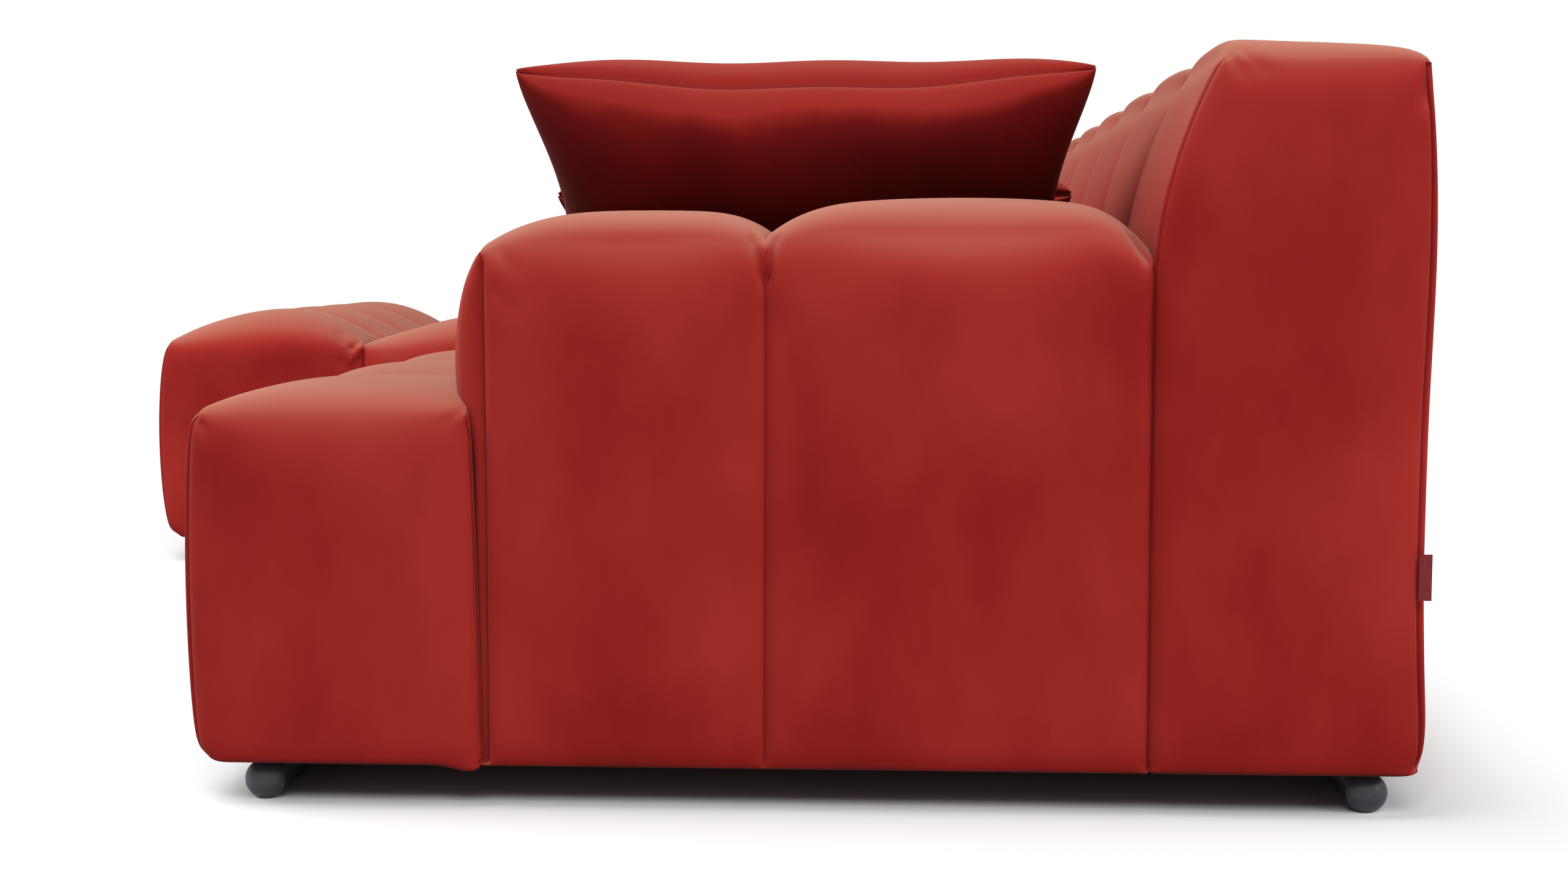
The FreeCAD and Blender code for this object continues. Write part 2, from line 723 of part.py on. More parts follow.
def foot(label):
    """A turned bar with domed ends, drawn as a half profile about its own axis."""
    body = doc.addObject("PartDesign::Body", label)
    plane = next(item for item in body.Origin.OriginFeatures if item.Role == "XY_Plane")
    sketch = body.newObject("Sketcher::SketchObject", f"{label}_profile")
    sketch.AttachmentSupport = (plane, [""])
    sketch.MapMode = "FlatFace"
    length = size("foot_length")
    radius = size("foot_diameter") / 2
    dome = size("foot_dome")
    dome_radius = (dome ** 2 + radius ** 2) / (2 * dome)
    spread = math.asin(radius / dome_radius)
    start = Vector(0, 0, 0)
    stop = Vector(length, 0, 0)
    near_rim = Vector(dome, radius, 0)
    far_rim = Vector(length - dome, radius, 0)
    normal = Vector(0, 0, 1)
    far_circle = Part.Circle(Vector(length - dome_radius, 0, 0), normal, dome_radius)
    near_circle = Part.Circle(Vector(dome_radius, 0, 0), normal, dome_radius)
    axis = sketch.addGeometry(Part.LineSegment(start, stop))
    far_dome = sketch.addGeometry(Part.ArcOfCircle(far_circle, 0, spread))
    barrel = sketch.addGeometry(Part.LineSegment(far_rim, near_rim))
    near_dome = sketch.addGeometry(Part.ArcOfCircle(near_circle, math.pi - spread, math.pi))
    Constraint = Sketcher.Constraint
    sketch.addConstraint([
        Constraint("Coincident", axis, 1, -1, 1),
        Constraint("Horizontal", axis),
        Constraint("Coincident", axis, 2, far_dome, 1),
        Constraint("Coincident", far_dome, 2, barrel, 1),
        Constraint("Coincident", barrel, 2, near_dome, 1),
        Constraint("Coincident", near_dome, 2, axis, 1),
        Constraint("Horizontal", barrel),
        Constraint("PointOnObject", far_dome, 3, axis),
        Constraint("PointOnObject", near_dome, 3, axis),
    ])
    lengths = (
        ("DistanceX", (axis, 1, axis, 2), length, "Size.foot_length"),
        ("DistanceY", (axis, 1, near_dome, 1), radius, "Size.foot_diameter / 2"),
        ("DistanceX", (axis, 1, near_dome, 1), dome, "Size.foot_dome"),
        ("DistanceX", (barrel, 1, axis, 2), dome, "Size.foot_dome"),
    )
    for kind, points, value, expression in lengths:
        number = sketch.addConstraint(Constraint(kind, *points, value))
        sketch.setExpression(f"Constraints[{number}]", expression)
    turned = body.newObject("PartDesign::Revolution", f"{label}_turned")
    turned.Profile = sketch
    turned.ReferenceAxis = (sketch, ["H_Axis"])
    turned.Angle = 360
    return body


def make_feet(section):
    """Four bars that lie along the sofa, cut flat where they stand, and the saddles that hold them."""
    name = section.name
    feet = []
    saddles = []
    rows = (
        ("front", f"{section.front} + Size.front_foot_setback"),
        ("rear", "Place.rear - Size.rear_foot_setback"),
    )
    starts = (
        ("joint", "Size.foot_inset"),
        ("end", f"{section.span} - Size.foot_inset - Size.foot_length"),
    )
    for row, y in rows:
        for end, along in starts:
            label = f"{name}_{row}_{end}_foot"
            stretch = (along, f"{along} + Size.foot_length")
            bar = foot(f"{label}_bar")
            bar.setExpression("Placement.Base.x", section.start(*stretch))
            bar.setExpression("Placement.Base.y", y)
            bar.setExpression("Placement.Base.z", "Size.foot_diameter / 2 - Size.foot_flat")
            ground = block(
                section, f"{label}_ground", stretch, around(y, "Size.foot_diameter"),
                ("0 - Size.foot_diameter", "0"))
            feet.append(cut(label, bar, [ground]))
            seat = block(
                section, f"{label}_seat", around(f"{along} + Size.foot_length / 2", "Size.saddle_length"),
                around(y, "Size.saddle_width"), ("Size.foot_diameter / 2", "Place.under"))
            saddles.append(cut(f"{label}_saddle", seat, [bar]))
    group(f"{name}_feet", feet)
    group(f"{name}_foot_saddles", saddles)


def hook_places():
    """Y of the middle of each hook connector."""
    return ("Place.arm_front + Size.hook_inset", "Place.back_front - Size.hook_inset")


def make_receivers(section):
    """Bridged plates on the main section's joint rail, and the side lining cut out round them."""
    name = section.name
    wall = section.wall
    bridge_in = f"{wall} - Size.hook_thick - 2 * Size.hook_play"
    half = "(Size.hook_width / 2 + 4 * Size.hook_play)"
    outer = f"({half} + Size.receiver_foot)"
    top = "Place.hook_level - Size.hook_play"
    upward = (f"{top} - Size.receiver_height", top)
    window_height = (
        "Place.hook_level - Size.receiver_height - Size.window_play",
        "Place.hook_level + Size.lift_off + 2 * Size.window_play",
    )
    receivers = []
    windows = []
    for number, y in enumerate(hook_places()):
        bridge = block(
            section, f"{name}_bridge_{number}", (f"{bridge_in} - Size.receiver_thick", bridge_in),
            (f"{y} - {outer}", f"{y} + {outer}"), upward)
        low_foot = block(
            section, f"{name}_low_foot_{number}", (bridge_in, wall),
            (f"{y} - {outer}", f"{y} - {half}"), upward)
        high_foot = block(
            section, f"{name}_high_foot_{number}", (bridge_in, wall),
            (f"{y} + {half}", f"{y} + {outer}"), upward)
        receivers.append(fuse(f"{name}_receiver_{number}", [bridge, low_foot, high_foot]))
        windows.append(block(
            section, f"{name}_window_{number}", ("0 - Size.cut_over", f"{wall} + Size.cut_over"),
            (f"{y} - {outer} - Size.window_play", f"{y} + {outer} + Size.window_play"), window_height))
    group(f"{name}_receivers", receivers)
    make_lining(section, windows)


def make_hooks(section, other):
    """Bent hooks on the chaise section's joint rail, and the side lining cut out round them."""
    name = section.name
    wall = section.wall
    tongue_far = f"(Size.joint_gap + {other.wall} - Size.hook_play)"
    plate = (f"{wall} - Size.hook_thick", wall)
    tongue = (f"0 - {tongue_far}", f"Size.hook_thick - {tongue_far}")
    level = "Place.hook_level"
    top = f"{level} + Size.hook_thick"
    plate_low = f"{level} - Size.receiver_height"
    hooks = []
    windows = []
    for number, y in enumerate(hook_places()):
        across = around(y, "Size.hook_width")
        back = block(section, f"{name}_hook_plate_{number}", plate, across, (plate_low, top))
        arm = block(section, f"{name}_hook_arm_{number}", (tongue[0], plate[1]), across, (level, top))
        tip = block(
            section, f"{name}_hook_tip_{number}", tongue, across, (f"{level} - Size.hook_tongue", top))
        hooks.append(fuse(f"{name}_hook_{number}", [back, arm, tip]))
        windows.append(block(
            section, f"{name}_window_{number}", ("0 - Size.cut_over", f"{wall} + Size.cut_over"),
            (f"{across[0]} - Size.window_play", f"{across[1]} + Size.window_play"),
            (f"{plate_low} - Size.window_play", f"{top} + Size.window_play")))
    group(f"{name}_hooks", hooks)
    make_lining(section, windows)


def make_lining(section, windows):
    """Lining of the joint side between the front pad and the backrest, with a window at each connector."""
    name = section.name
    sheet = block(
        section, f"{name}_lining_sheet", ("0", section.wall),
        ("Place.arm_front + Size.seam_gap", "Place.back_front - Size.seam_gap"),
        ("Place.under", "Place.core_top"))
    keep(f"{name}_side_lining", cut(f"{name}_side_lining", sheet, windows))


def pillow_layer(level, half_width, half_height, draw):
    """One flat outline of a pillow: four corners, and sides that pull in by up to the draw."""
    corners = ((-1, -1), (1, -1), (1, 1), (-1, 1))
    points = []
    for corner, following in zip(corners, corners[1:] + corners[:1]):
        for share in PILLOW_SHARES:
            pull = draw * 4 * share * (1 - share)
            across = corner[0] + (following[0] - corner[0]) * share
            upward = corner[1] + (following[1] - corner[1]) * share
            inward = (corner[1] == following[1], corner[0] == following[0])
            points.append((
                across * (half_width - pull * inward[1]),
                upward * (half_height - pull * inward[0]),
            ))
    return outline(lambda point: Vector(level, *point), points[0], *[(point,) for point in points[1:]])


def pillow_solid(edge_margin, face_margin, draw):
    """A pillow about its own centre, its seam in the plane X = 0, shrunk at its edges and its faces."""
    half_width = size("pillow_width") / 2 - edge_margin
    half_height = size("pillow_height") / 2 - edge_margin
    half_thick = size("pillow_thick") / 2 - face_margin
    halves = []
    for face in (1, -1):
        layers = []
        for rise, kept in PILLOW_LAYERS:
            level = face * rise * half_thick
            layers.append(pillow_layer(level, kept * half_width, kept * half_height, draw * (rise == 0)))
        halves.append(loft(layers))
    return halves[0].fuse(halves[1]).removeSplitter().Solids[0]


def pillow_reach(turn):
    """How far a pillow reaches from its centre in a direction turned from its height axis, in radians."""
    half_height = size("pillow_height") / 2
    half_thick = size("pillow_thick") / 2
    return max(
        math.cos(turn) * kept * half_height + math.sin(turn) * rise * half_thick
        for rise, kept in PILLOW_LAYERS
    )


def make_pillow(label, centre, tilt):
    """A sewn cover with its filled insert, leaning back by the tilt from upright."""
    stand = FreeCAD.Placement(centre, Rotation(Vector(0, 1, 0), tilt))
    draw = size("pillow_draw")
    thick = size("pillow_cover_thick")
    gap = size("seam_gap")
    cover = doc.addObject("Part::Feature", f"{label}_cover")
    cover.Shape = pillow_solid(0, 0, draw).cut(pillow_solid(draw + thick, thick, 0))
    insert = doc.addObject("Part::Feature", f"{label}_insert")
    insert.Shape = pillow_solid(draw + thick + gap, thick + gap, 0)
    for suffix, feature in (("cover", cover), ("insert", insert)):
        feature.Placement = stand
        keep(f"{label}_{suffix}", feature)


def make_pillows():
    """One pillow leans on the shoulder of the near arm, the other lies low against it."""
    tilt = math.radians(size("upright_pillow_tilt"))
    low_tilt = math.radians(size("low_pillow_tilt"))
    clear = size("pillow_clearance")
    face = size("pillow_thick") / 2 + size("pillow_lean_gap")
    middle = (place("arm_front") + place("back_front")) / 2 - size("pillow_shift")
    rest = place("seat_seam") + size("seat_crown") + clear
    level = rest + pillow_reach(tilt)
    low_level = rest + pillow_reach(low_tilt)

    turn = SHOULDER_TURN * size("arm_shoulder")
    shoulder_x = place("near_end") - size("arm_width") + turn
    shoulder_z = size("arm_height") + size("arm_rear_rise") - size("arm_crown") - turn
    x = shoulder_x - (shoulder_z - level) * math.tan(tilt) - face / math.cos(tilt)
    low_reach = pillow_reach(math.pi / 2 - (low_tilt - tilt))
    low_x = x + (low_level - level) * math.tan(tilt) - (face + low_reach) / math.cos(tilt)
    make_pillow("upright_pillow", Vector(x, middle, level), size("upright_pillow_tilt"))
    make_pillow("low_pillow", Vector(low_x, middle, low_level), size("low_pillow_tilt"))


def make_tag(section, back_pad):
    """A bare folded tag, sewn into the rear seam of the near end panel."""
    along = f"{section.span} - Size.panel_edge / 2"
    strip = block(
        section, "tag_strip", (along, f"{along} + Size.tag_thick"),
        ("Place.rear - Size.tag_width", "Place.rear"),
        ("Size.tag_level", "Size.tag_level + Size.tag_height"))
    keep("side_tag", cut("side_tag", strip, [back_pad]))


def build():
    fill_sheet(size_sheet, SIZES, "")
    fill_sheet(place_sheet, PLACES, "=")
    main = Section("main", "near", 1, MAIN_COLUMNS, MAIN_POSTS, MAIN_STRAPS)
    chaise = Section("chaise", "far", -1, CHAISE_COLUMNS, CHAISE_POSTS, CHAISE_STRAPS)

    first_rear = place("chaise_front") + size("lounge_row_depth")
    depth = (place("arm_front") - first_rear) / (LOUNGE_ROWS - 1)
    lounge_rows = [(place("chaise_front"), first_rear)]
    for row in range(LOUNGE_ROWS - 1):
        lounge_rows.append((first_rear + depth * row, first_rear + depth * (row + 1)))
    gap = size("seam_gap")
    lounge_rows[-1] = (lounge_rows[-1][0], place("arm_front") - gap)
    main_rows = [(place("main_front"), place("arm_front") - gap)]

    backs = {}
    for section, rows in ((main, main_rows), (chaise, lounge_rows)):
        make_frame(section)
        make_seat_support(section)
        make_seat(section, rows)
        backs[section.name] = make_back(section)
        make_arm(section)
        make_feet(section)
    make_receivers(main)
    make_hooks(chaise, main)
    make_pillows()
    make_tag(main, backs["main"])
    doc.recompute()


def check():
    """Stops before anything is written if an object failed or a sub-part has no valid shape."""
    for item in doc.Objects:
        if "Invalid" in item.State or "Error" in item.State:
            raise RuntimeError(f"{item.Name} failed: {item.State}")
    for node in nodes:
        if node.Shape.isNull() or not node.Shape.isValid() or not node.Shape.Solids:
            raise RuntimeError(f"{node.Label} has no valid solid")


def export():
    os.makedirs("parts", exist_ok=True)
    for node in nodes:
        node.Shape.exportStep(f"parts/{node.Label}.step")


build()
check()
export()
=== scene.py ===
import math

import bpy
import numpy as np
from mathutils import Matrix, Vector


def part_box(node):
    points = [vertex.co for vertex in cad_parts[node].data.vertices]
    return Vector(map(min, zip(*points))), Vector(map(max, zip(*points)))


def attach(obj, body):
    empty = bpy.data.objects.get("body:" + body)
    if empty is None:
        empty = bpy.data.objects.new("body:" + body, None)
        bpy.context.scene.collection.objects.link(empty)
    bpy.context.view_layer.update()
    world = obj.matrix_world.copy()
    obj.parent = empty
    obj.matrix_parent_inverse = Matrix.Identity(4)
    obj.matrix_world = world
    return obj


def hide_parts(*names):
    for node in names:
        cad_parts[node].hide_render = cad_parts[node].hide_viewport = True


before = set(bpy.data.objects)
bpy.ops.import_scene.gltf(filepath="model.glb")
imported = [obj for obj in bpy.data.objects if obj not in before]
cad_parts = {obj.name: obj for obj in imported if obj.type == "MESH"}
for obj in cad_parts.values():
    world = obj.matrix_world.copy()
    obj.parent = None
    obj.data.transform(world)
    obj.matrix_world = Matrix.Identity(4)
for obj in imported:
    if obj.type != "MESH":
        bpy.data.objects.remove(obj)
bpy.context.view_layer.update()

# Lounge sofa in red velvet. Lengths are in millimetres and become metres when a mesh is made.
# X runs along the sofa towards the main section's arm, Y from front to rear, Z up.
MM = 0.001

# Places that the solids give: ends, joint, rows, seams and crests.
NEAR_END = 1205
FAR_END = -1205
MAIN_JOINT = -403
CHAISE_JOINT = -407
REAR = 900
MAIN_FRONT = -300
CHAISE_FRONT = -900
ARM_FRONT = 0
ARM_SEAM = 270
BACK_FRONT = 634
UNDER = 41
CORE_TOP = 365
SEAT_SEAM = 387
ARM_WIDTH = 322
ARM_LEVEL = 568
ARM_REAR_LEVEL = 576
BACK_EAR = 728
MAIN_COLUMNS = 5
CHAISE_COLUMNS = 4
CHAISE_ROWS = (-550, -275)
# How far covers keep from each other where two of them meet, and how far they press together at a seam.
MEETING_GAP = 1
SEAM_PRESS = 4
# How far the stitches draw a seam in.
COVER_STITCH = 3
PILLOW_STITCH = 12
INSERT_STITCH = 2


# Curves of padded forms. Powers of an arch: a half ellipse, a flatter dome, a lobe and a taut panel.

HALF_ELLIPSE = 0.5
DOME = 0.6
LOBE = 0.42
TAUT = 0.4
# Upper half of a side, in which it takes the form of its top.
UPPER_HALF = (0.5, 1)


def arch(share, power):
    """Height of a crown across a stretch, from 0 at its sewn edges to 1 in the middle."""
    return np.clip(4 * share * (1 - share), 0, 1) ** power


def smooth(low, high, value):
    """A soft step from 0 at low to 1 at high."""
    share = np.clip((value - low) / (high - low), 0, 1)
    return share * share * (3 - 2 * share)


def roll(distance, length):
    """How far a rolled edge has fallen, from 1 at a seam to 0 at the length away from it."""
    share = np.clip(1 - distance / length, 0, 1)
    return 1 - np.sqrt(1 - share ** 2)


def fall(distance, depth, length, power):
    """How far a top has dropped towards a seam, steepest beside it."""
    return depth * np.clip(1 - distance / length, 0, 1) ** power


def bell(value, width):
    """A soft bump of height 1 around 0."""
    return np.exp(-(value / width) ** 2)


# Where a tucked fold fades in around its foot and out above its head, and the plain middle of an ear.
FOOT_FADE = (-12, 8)
HEAD_FADE = 16
EAR_CORE = 9


def pleat(y, z, foot, head, depth, width):
    """A tucked fold along a line from its foot to its head, both given as (y, z)."""
    along = np.clip((z - foot[1]) / (head[1] - foot[1]), 0, 1)
    line = foot[0] + (head[0] - foot[0]) * along
    inside = smooth(foot[1] + FOOT_FADE[0], foot[1] + FOOT_FADE[1], z)
    inside = inside * (1 - smooth(head[1], head[1] + HEAD_FADE, z))
    return depth * inside * bell(y - line, width)


def ear_folds(y, z, ear, depth, reach, count, turn):
    """Creases that fan out from a pinched corner."""
    across = y - ear[0]
    upward = z - ear[1]
    away = np.hypot(across, upward)
    fade = np.exp(-away / reach) * (1 - np.exp(-away / EAR_CORE))
    return depth * fade * np.cos(count * np.arctan2(upward, across) + turn)


# Meshes

# The soft pieces' names begin with this word.
SOFT = "soft_"
# Fewest steps between two edges, and rounds of evening for a mesh and for its swell.
LEAST_STEPS = 4
RELAX_ROUNDS = 10
SWELL_ROUNDS = 24
# Frames and pressure of the simulation, and the furthest that it may move a point.
SWELL_FRAMES = 14
SWELL_PRESSURE = 1.4
SWELL_CAP = 6
# How far a surface faces the outer end where tucked folds begin and where they have their full depth.
OUTER_FACING = (0.2, 0.5)
# Sag of a lobe towards a free end, and the distance, in lengths of a row, that stands for no free end.
END_SAG = 0.12
LONG_WAY = 10
# Free ends: radius of the hem, how far they lie back at their seams and stand out between them.
HEM_TURN = 10
END_DIP = 9
END_DOME = 3


def cell(value, edges):
    """Share of the way through the stretch between two edges in which each value lies."""
    edges = np.asarray(edges, float)
    number = np.clip(np.searchsorted(edges, value, side="right") - 1, 0, len(edges) - 2)
    return (value - edges[number]) / (edges[number + 1] - edges[number]), number


def spaced(edges, step, tight=0.6):
    """Places along an axis, closer together beside each edge."""
    places = [edges[0]]
    for low, high in zip(edges, edges[1:]):
        count = max(LEAST_STEPS, round((high - low) / step))
        share = np.linspace(0, 1, count + 1)[1:]
        share = share - tight * np.sin(2 * np.pi * share) / (2 * np.pi)
        share[-1] = 1
        places += list(low + (high - low) * share)
    return np.array(places)


def lattice(us, vs, ws):
    """Points on the surface of a box, from its places along three axes, and the quads between them."""
    index = {}
    points = []

    def at(i, j, k):
        key = (i, j, k)
        if key not in index:
            index[key] = len(points)
            points.append((us[i], vs[j], ws[k]))
        return index[key]

    quads = []
    nu, nv, nw = len(us) - 1, len(vs) - 1, len(ws) - 1
    for i in range(nu):
        for j in range(nv):
            quads.append((at(i, j, 0), at(i, j + 1, 0), at(i + 1, j + 1, 0), at(i + 1, j, 0)))
            quads.append((at(i, j, nw), at(i + 1, j, nw), at(i + 1, j + 1, nw), at(i, j + 1, nw)))
        for k in range(nw):
            quads.append((at(i, 0, k), at(i + 1, 0, k), at(i + 1, 0, k + 1), at(i, 0, k + 1)))
            quads.append((at(i, nv, k), at(i, nv, k + 1), at(i + 1, nv, k + 1), at(i + 1, nv, k)))
    for j in range(nv):
        for k in range(nw):
            quads.append((at(0, j, k), at(0, j, k + 1), at(0, j + 1, k + 1), at(0, j + 1, k)))
            quads.append((at(nu, j, k), at(nu, j + 1, k), at(nu, j + 1, k + 1), at(nu, j, k + 1)))
    return np.array(points, float), quads


def corner_shift(p, q, corner, towards, radius):
    """How far points move when a section's square corner, open towards the signs, becomes an arc."""
    radius = np.broadcast_to(np.asarray(radius, float), p.shape)
    dp = radius - (p - corner[0]) * towards[0]
    dq = radius - (q - corner[1]) * towards[1]
    inside = (dp > 0) & (dq > 0)
    length = np.hypot(dp, dq)
    scale = np.where(inside, np.maximum(dp, dq) / np.where(length > 0, length, 1), 1)
    return towards[0] * dp * (1 - scale), towards[1] * dq * (1 - scale)


def relax(points, quads, held, rounds):
    """Evens out a surface by moving each free point towards the middle of its neighbours."""
    quads = np.array(quads)
    starts = quads.ravel()
    stops = np.roll(quads, -1, axis=1).ravel()
    counts = np.bincount(starts, minlength=len(points))[:, None]
    for _ in range(rounds):
        sums = np.zeros_like(points)
        np.add.at(sums, starts, points[stops])
        points = np.where(held[:, None], points, (points + sums / counts) / 2)
    return points


def make_object(name, points, quads, material, held, seam):
    """A smooth mesh object from points in millimetres. The held points keep their place in the simulation.

    The seam points are kept as an attribute, by which the edges are drawn in and darkened with painted
    shade."""
    mesh = bpy.data.meshes.new(SOFT + name)
    points = relax(points, quads, held, RELAX_ROUNDS)
    mesh.from_pydata([tuple(point) for point in points * MM], [], quads)
    mesh.polygons.foreach_set("use_smooth", [True] * len(mesh.polygons))
    mesh.materials.append(material)
    mesh.update()
    piece = bpy.data.objects.new(SOFT + name, mesh)
    bpy.context.scene.collection.objects.link(piece)
    piece.vertex_groups.new(name="held").add(np.flatnonzero(held).tolist(), 1.0, "REPLACE")
    mesh.attributes.new("seam", "FLOAT", "POINT").data.foreach_set("value", seam.astype(float))
    return piece


def values(items, name, width=1, kind=float):
    """One property of all items of a mesh, as an array."""
    array = np.empty(width * len(items), kind)
    items.foreach_get(name, array)
    return array


def settle(pieces, frames, pressure, cap):
    """Swells covers between their seams in a cloth simulation and keeps the evened result."""
    for piece in pieces:
        cloth = piece.modifiers.new("cloth", "CLOTH")
        cloth.point_cache.frame_end = frames
        cloth.collision_settings.use_collision = False
        settings = cloth.settings
        settings.quality = 4
        settings.mass = 0.3
        settings.tension_stiffness = 12
        settings.compression_stiffness = 12
        settings.shear_stiffness = 6
        settings.bending_stiffness = 4
        settings.vertex_group_mass = "held"
        settings.use_pressure = True
        settings.uniform_pressure_force = pressure
        settings.effector_weights.gravity = 0
    for number in range(1, frames + 1):
        bpy.context.scene.frame_set(number)
    graph = bpy.context.evaluated_depsgraph_get()
    for piece in pieces:
        before = values(piece.data.vertices, "co", 3)
        after = values(piece.evaluated_get(graph).data.vertices, "co", 3)
        step = (after - before).reshape(-1, 3)
        length = np.maximum(np.linalg.norm(step, axis=1), MM)
        step = step * np.minimum(1, cap * MM / length)[:, None]
        corners = values(piece.data.loops, "vertex_index", kind=int)
        step = relax(step, corners.reshape(-1, 4), np.zeros(len(step), bool), SWELL_ROUNDS)
        piece.data.vertices.foreach_set("co", before + step.ravel())
        piece.data.update()
        piece.modifiers.remove(piece.modifiers["cloth"])
    bpy.context.scene.frame_set(1)


def tuck(piece, folds):
    """Presses tucked folds, each with its foot, head, depth and width, into the outer end of a cover."""
    points = values(piece.data.vertices, "co", 3).reshape(-1, 3) / MM
    normals = values(piece.data.vertices, "normal", 3).reshape(-1, 3)
    x, y, z = points.T
    middle = (x.min() + x.max()) / 2
    outer = smooth(*OUTER_FACING, normals[:, 0]) * (x > middle)
    push = sum(pleat(y, z, *fold) for fold in folds) * outer
    points = points - normals * push[:, None]
    piece.data.vertices.foreach_set("co", (points * MM).ravel())
    piece.data.update()


def stitch(piece, depth):
    """Draws the sewn edges of a cover in and creases them, so that the cloth rolls over on both sides."""
    mesh = piece.data
    seam = values(mesh.attributes["seam"].data, "value")
    inward = depth * MM * values(mesh.vertices, "normal", 3) * np.repeat(seam, 3)
    mesh.vertices.foreach_set("co", values(mesh.vertices, "co", 3) - inward)
    ends = values(mesh.edges, "vertices", 2, int)
    sewn = seam[ends.reshape(-1, 2)].min(axis=1)
    mesh.attributes.new("crease_edge", "FLOAT", "EDGE").data.foreach_set("value", sewn)
    mesh.update()


def subdivide(piece):
    """Rounds a mesh by one step, except along its creased edges."""
    modifier = piece.modifiers.new("smooth", "SUBSURF")
    modifier.levels = 1
    modifier.render_levels = 1


def dress(piece, body, nodes):
    """A padded piece that stands for its solids and moves with a body."""
    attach(piece, body)
    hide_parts(*nodes)
    return piece


def column_edges(start, stop, columns):
    """Places of the seams between equal columns, with both ends."""
    return [start + (stop - start) * number / columns for number in range(columns + 1)]


def lobes(x, edges, free):
    """How full each lobe is along a row. A free end stays full up to its end."""
    share, number = cell(x, edges)
    full = arch(share, LOBE)
    last = (number == len(edges) - 2) & (share > 0.5)
    first = (number == 0) & (share < 0.5)
    droop = 1 - END_SAG * (2 * np.abs(share - 0.5)) ** 2
    if free[1]:
        full = np.where(last, droop, full)
    if free[0]:
        full = np.where(first, droop, full)
    return full


def fixed_ends(x, ends, free):
    """True for the points on an end that is not free."""
    return ((x == ends[0]) & (not free[0])) | ((x == ends[1]) & (not free[1]))


def free_distance(x, ends, free):
    """Distance from the nearest free end, or a long way where neither end is free."""
    far = LONG_WAY * (ends[1] - ends[0])
    low = x - ends[0] if free[0] else np.full_like(x, far)
    high = ends[1] - x if free[1] else np.full_like(x, far)
    return np.minimum(low, high)


def waterfall(x, z, box, radius, free):
    """The top turning over the free ends: shifts in X and Z, and the outward direction in X and Z."""
    (x0, x1), _, (z0, z1) = box
    radius = np.broadcast_to(np.asarray(radius, float), x.shape)
    out_x = np.zeros_like(x)
    out_z = np.where(z == z1, 1.0, 0.0)
    shift_x = np.zeros_like(x)
    shift_z = np.zeros_like(x)
    for end, sign, is_free in ((x1, 1, free[1]), (x0, -1, free[0])):
        if not is_free:
            continue
        out_x = np.where(x == end, sign, out_x)
        across = radius - sign * (end - x)
        upward = radius - (z1 - z)
        corner = (across > 0) & (upward > 0)
        length = np.where(corner, np.hypot(across, upward), 1)
        out_x = np.where(corner, sign * across / length, out_x)
        out_z = np.where(corner, upward / length, out_z)
        for level, turn in ((z1, radius), (z0, HEM_TURN)):
            dx, dz = corner_shift(x, z, (end, level), (-sign, -1 if level == z1 else 1), turn)
            shift_x = shift_x + dx
            shift_z = shift_z + dz
    return shift_x, shift_z, out_x, out_z


# Front rows

ROW_STEPS = (13, 12, 12)
# How far the main section's row lies behind the front of its solid.
ROW_SETBACK = 4
# Radius with which a top turns over an end, at a seam and its gain between two seams.
ROW_TURN = 14
ROW_TURN_GAIN = 40
# Slopes between rows, each a share of the row's depth and a power, and the roll at the last row's rear.
SECOND_SLOPE = (0.85, 1.2)
INNER_SLOPE = (0.43, 2.0)
LAST_ROLL = 0.28
LAST_DROP = 0.7
# End of a row: reach of the dips beside its front and rear seam, and the creases round its ears.
FRONT_DIP_REACH = 18
REAR_DIP_REACH = 24
ROW_EAR_DROP = 6
ROW_EAR = (2.4, 34, 6)
ROW_EAR_TURN = 0.8
# Grooves between lobes: depth, and the shares of crown and bulge that stay in them.
GROOVE = 12
GROOVE_CROWN = 0.3
GROOVE_BULGE = 0.45
# Front: share of the bulge at the hem, the hem's radius, the shoulder's radius and its gain further in.
HEM_BULGE = 0.25
FRONT_HEM = 22
SHOULDER = 8
SHOULDER_GAIN = 30
SHOULDER_REACH = 110
# How far the front panel stands out away from an end, over what length it comes out, and the rear's lean.
FRONT_PROUD = 4
FRONT_REACH = 40
LEAN_POWER = 1.5
# Fold at the rear foot of an end: place from the rear and the hem, width, reach, drop and push.
FOOT_FOLD = (18, 4)
FOOT_FOLD_WIDTH = 17
FOOT_FOLD_REACH = 70
FOOT_FOLD_DROP = 7
FOOT_FOLD_PUSH = 4
# How far the chaise's end gives way beside the main section, and over what lengths.
JOINT_PRESS = 10
PRESS_FADE = 20
PRESS_REACH = 60


def row_rise(from_front, from_rear, number, depth, last, slope):
    """Height of the tops across the rows, from 0 at a seam to 1 at a crest."""
    front = fall(from_front, 1, INNER_SLOPE[0] * depth, INNER_SLOPE[1])
    front = np.where(number == 1, fall(from_front, 1, SECOND_SLOPE[0] * depth, SECOND_SLOPE[1]), front)
    front = np.where(number == 0, fall(from_front, *slope), front)
    rear = fall(from_rear, 1, INNER_SLOPE[0] * depth, INNER_SLOPE[1])
    rear = np.where(number == last, LAST_DROP * roll(from_rear, LAST_ROLL * depth), rear)
    return 1 - front - rear


def row_end(y, z, rows, top, share, from_front, from_rear):
    """How far an end stands out: proud between the seams, back beside them, creased round the ears."""
    dips = roll(from_front, FRONT_DIP_REACH) + roll(from_rear, REAR_DIP_REACH)
    out = END_DOME * arch(share, DOME) - END_DIP * dips
    for edge in rows:
        out = out + ear_folds(y, z, (edge, top - ROW_EAR_DROP), *ROW_EAR, ROW_EAR_TURN * edge)
    return out


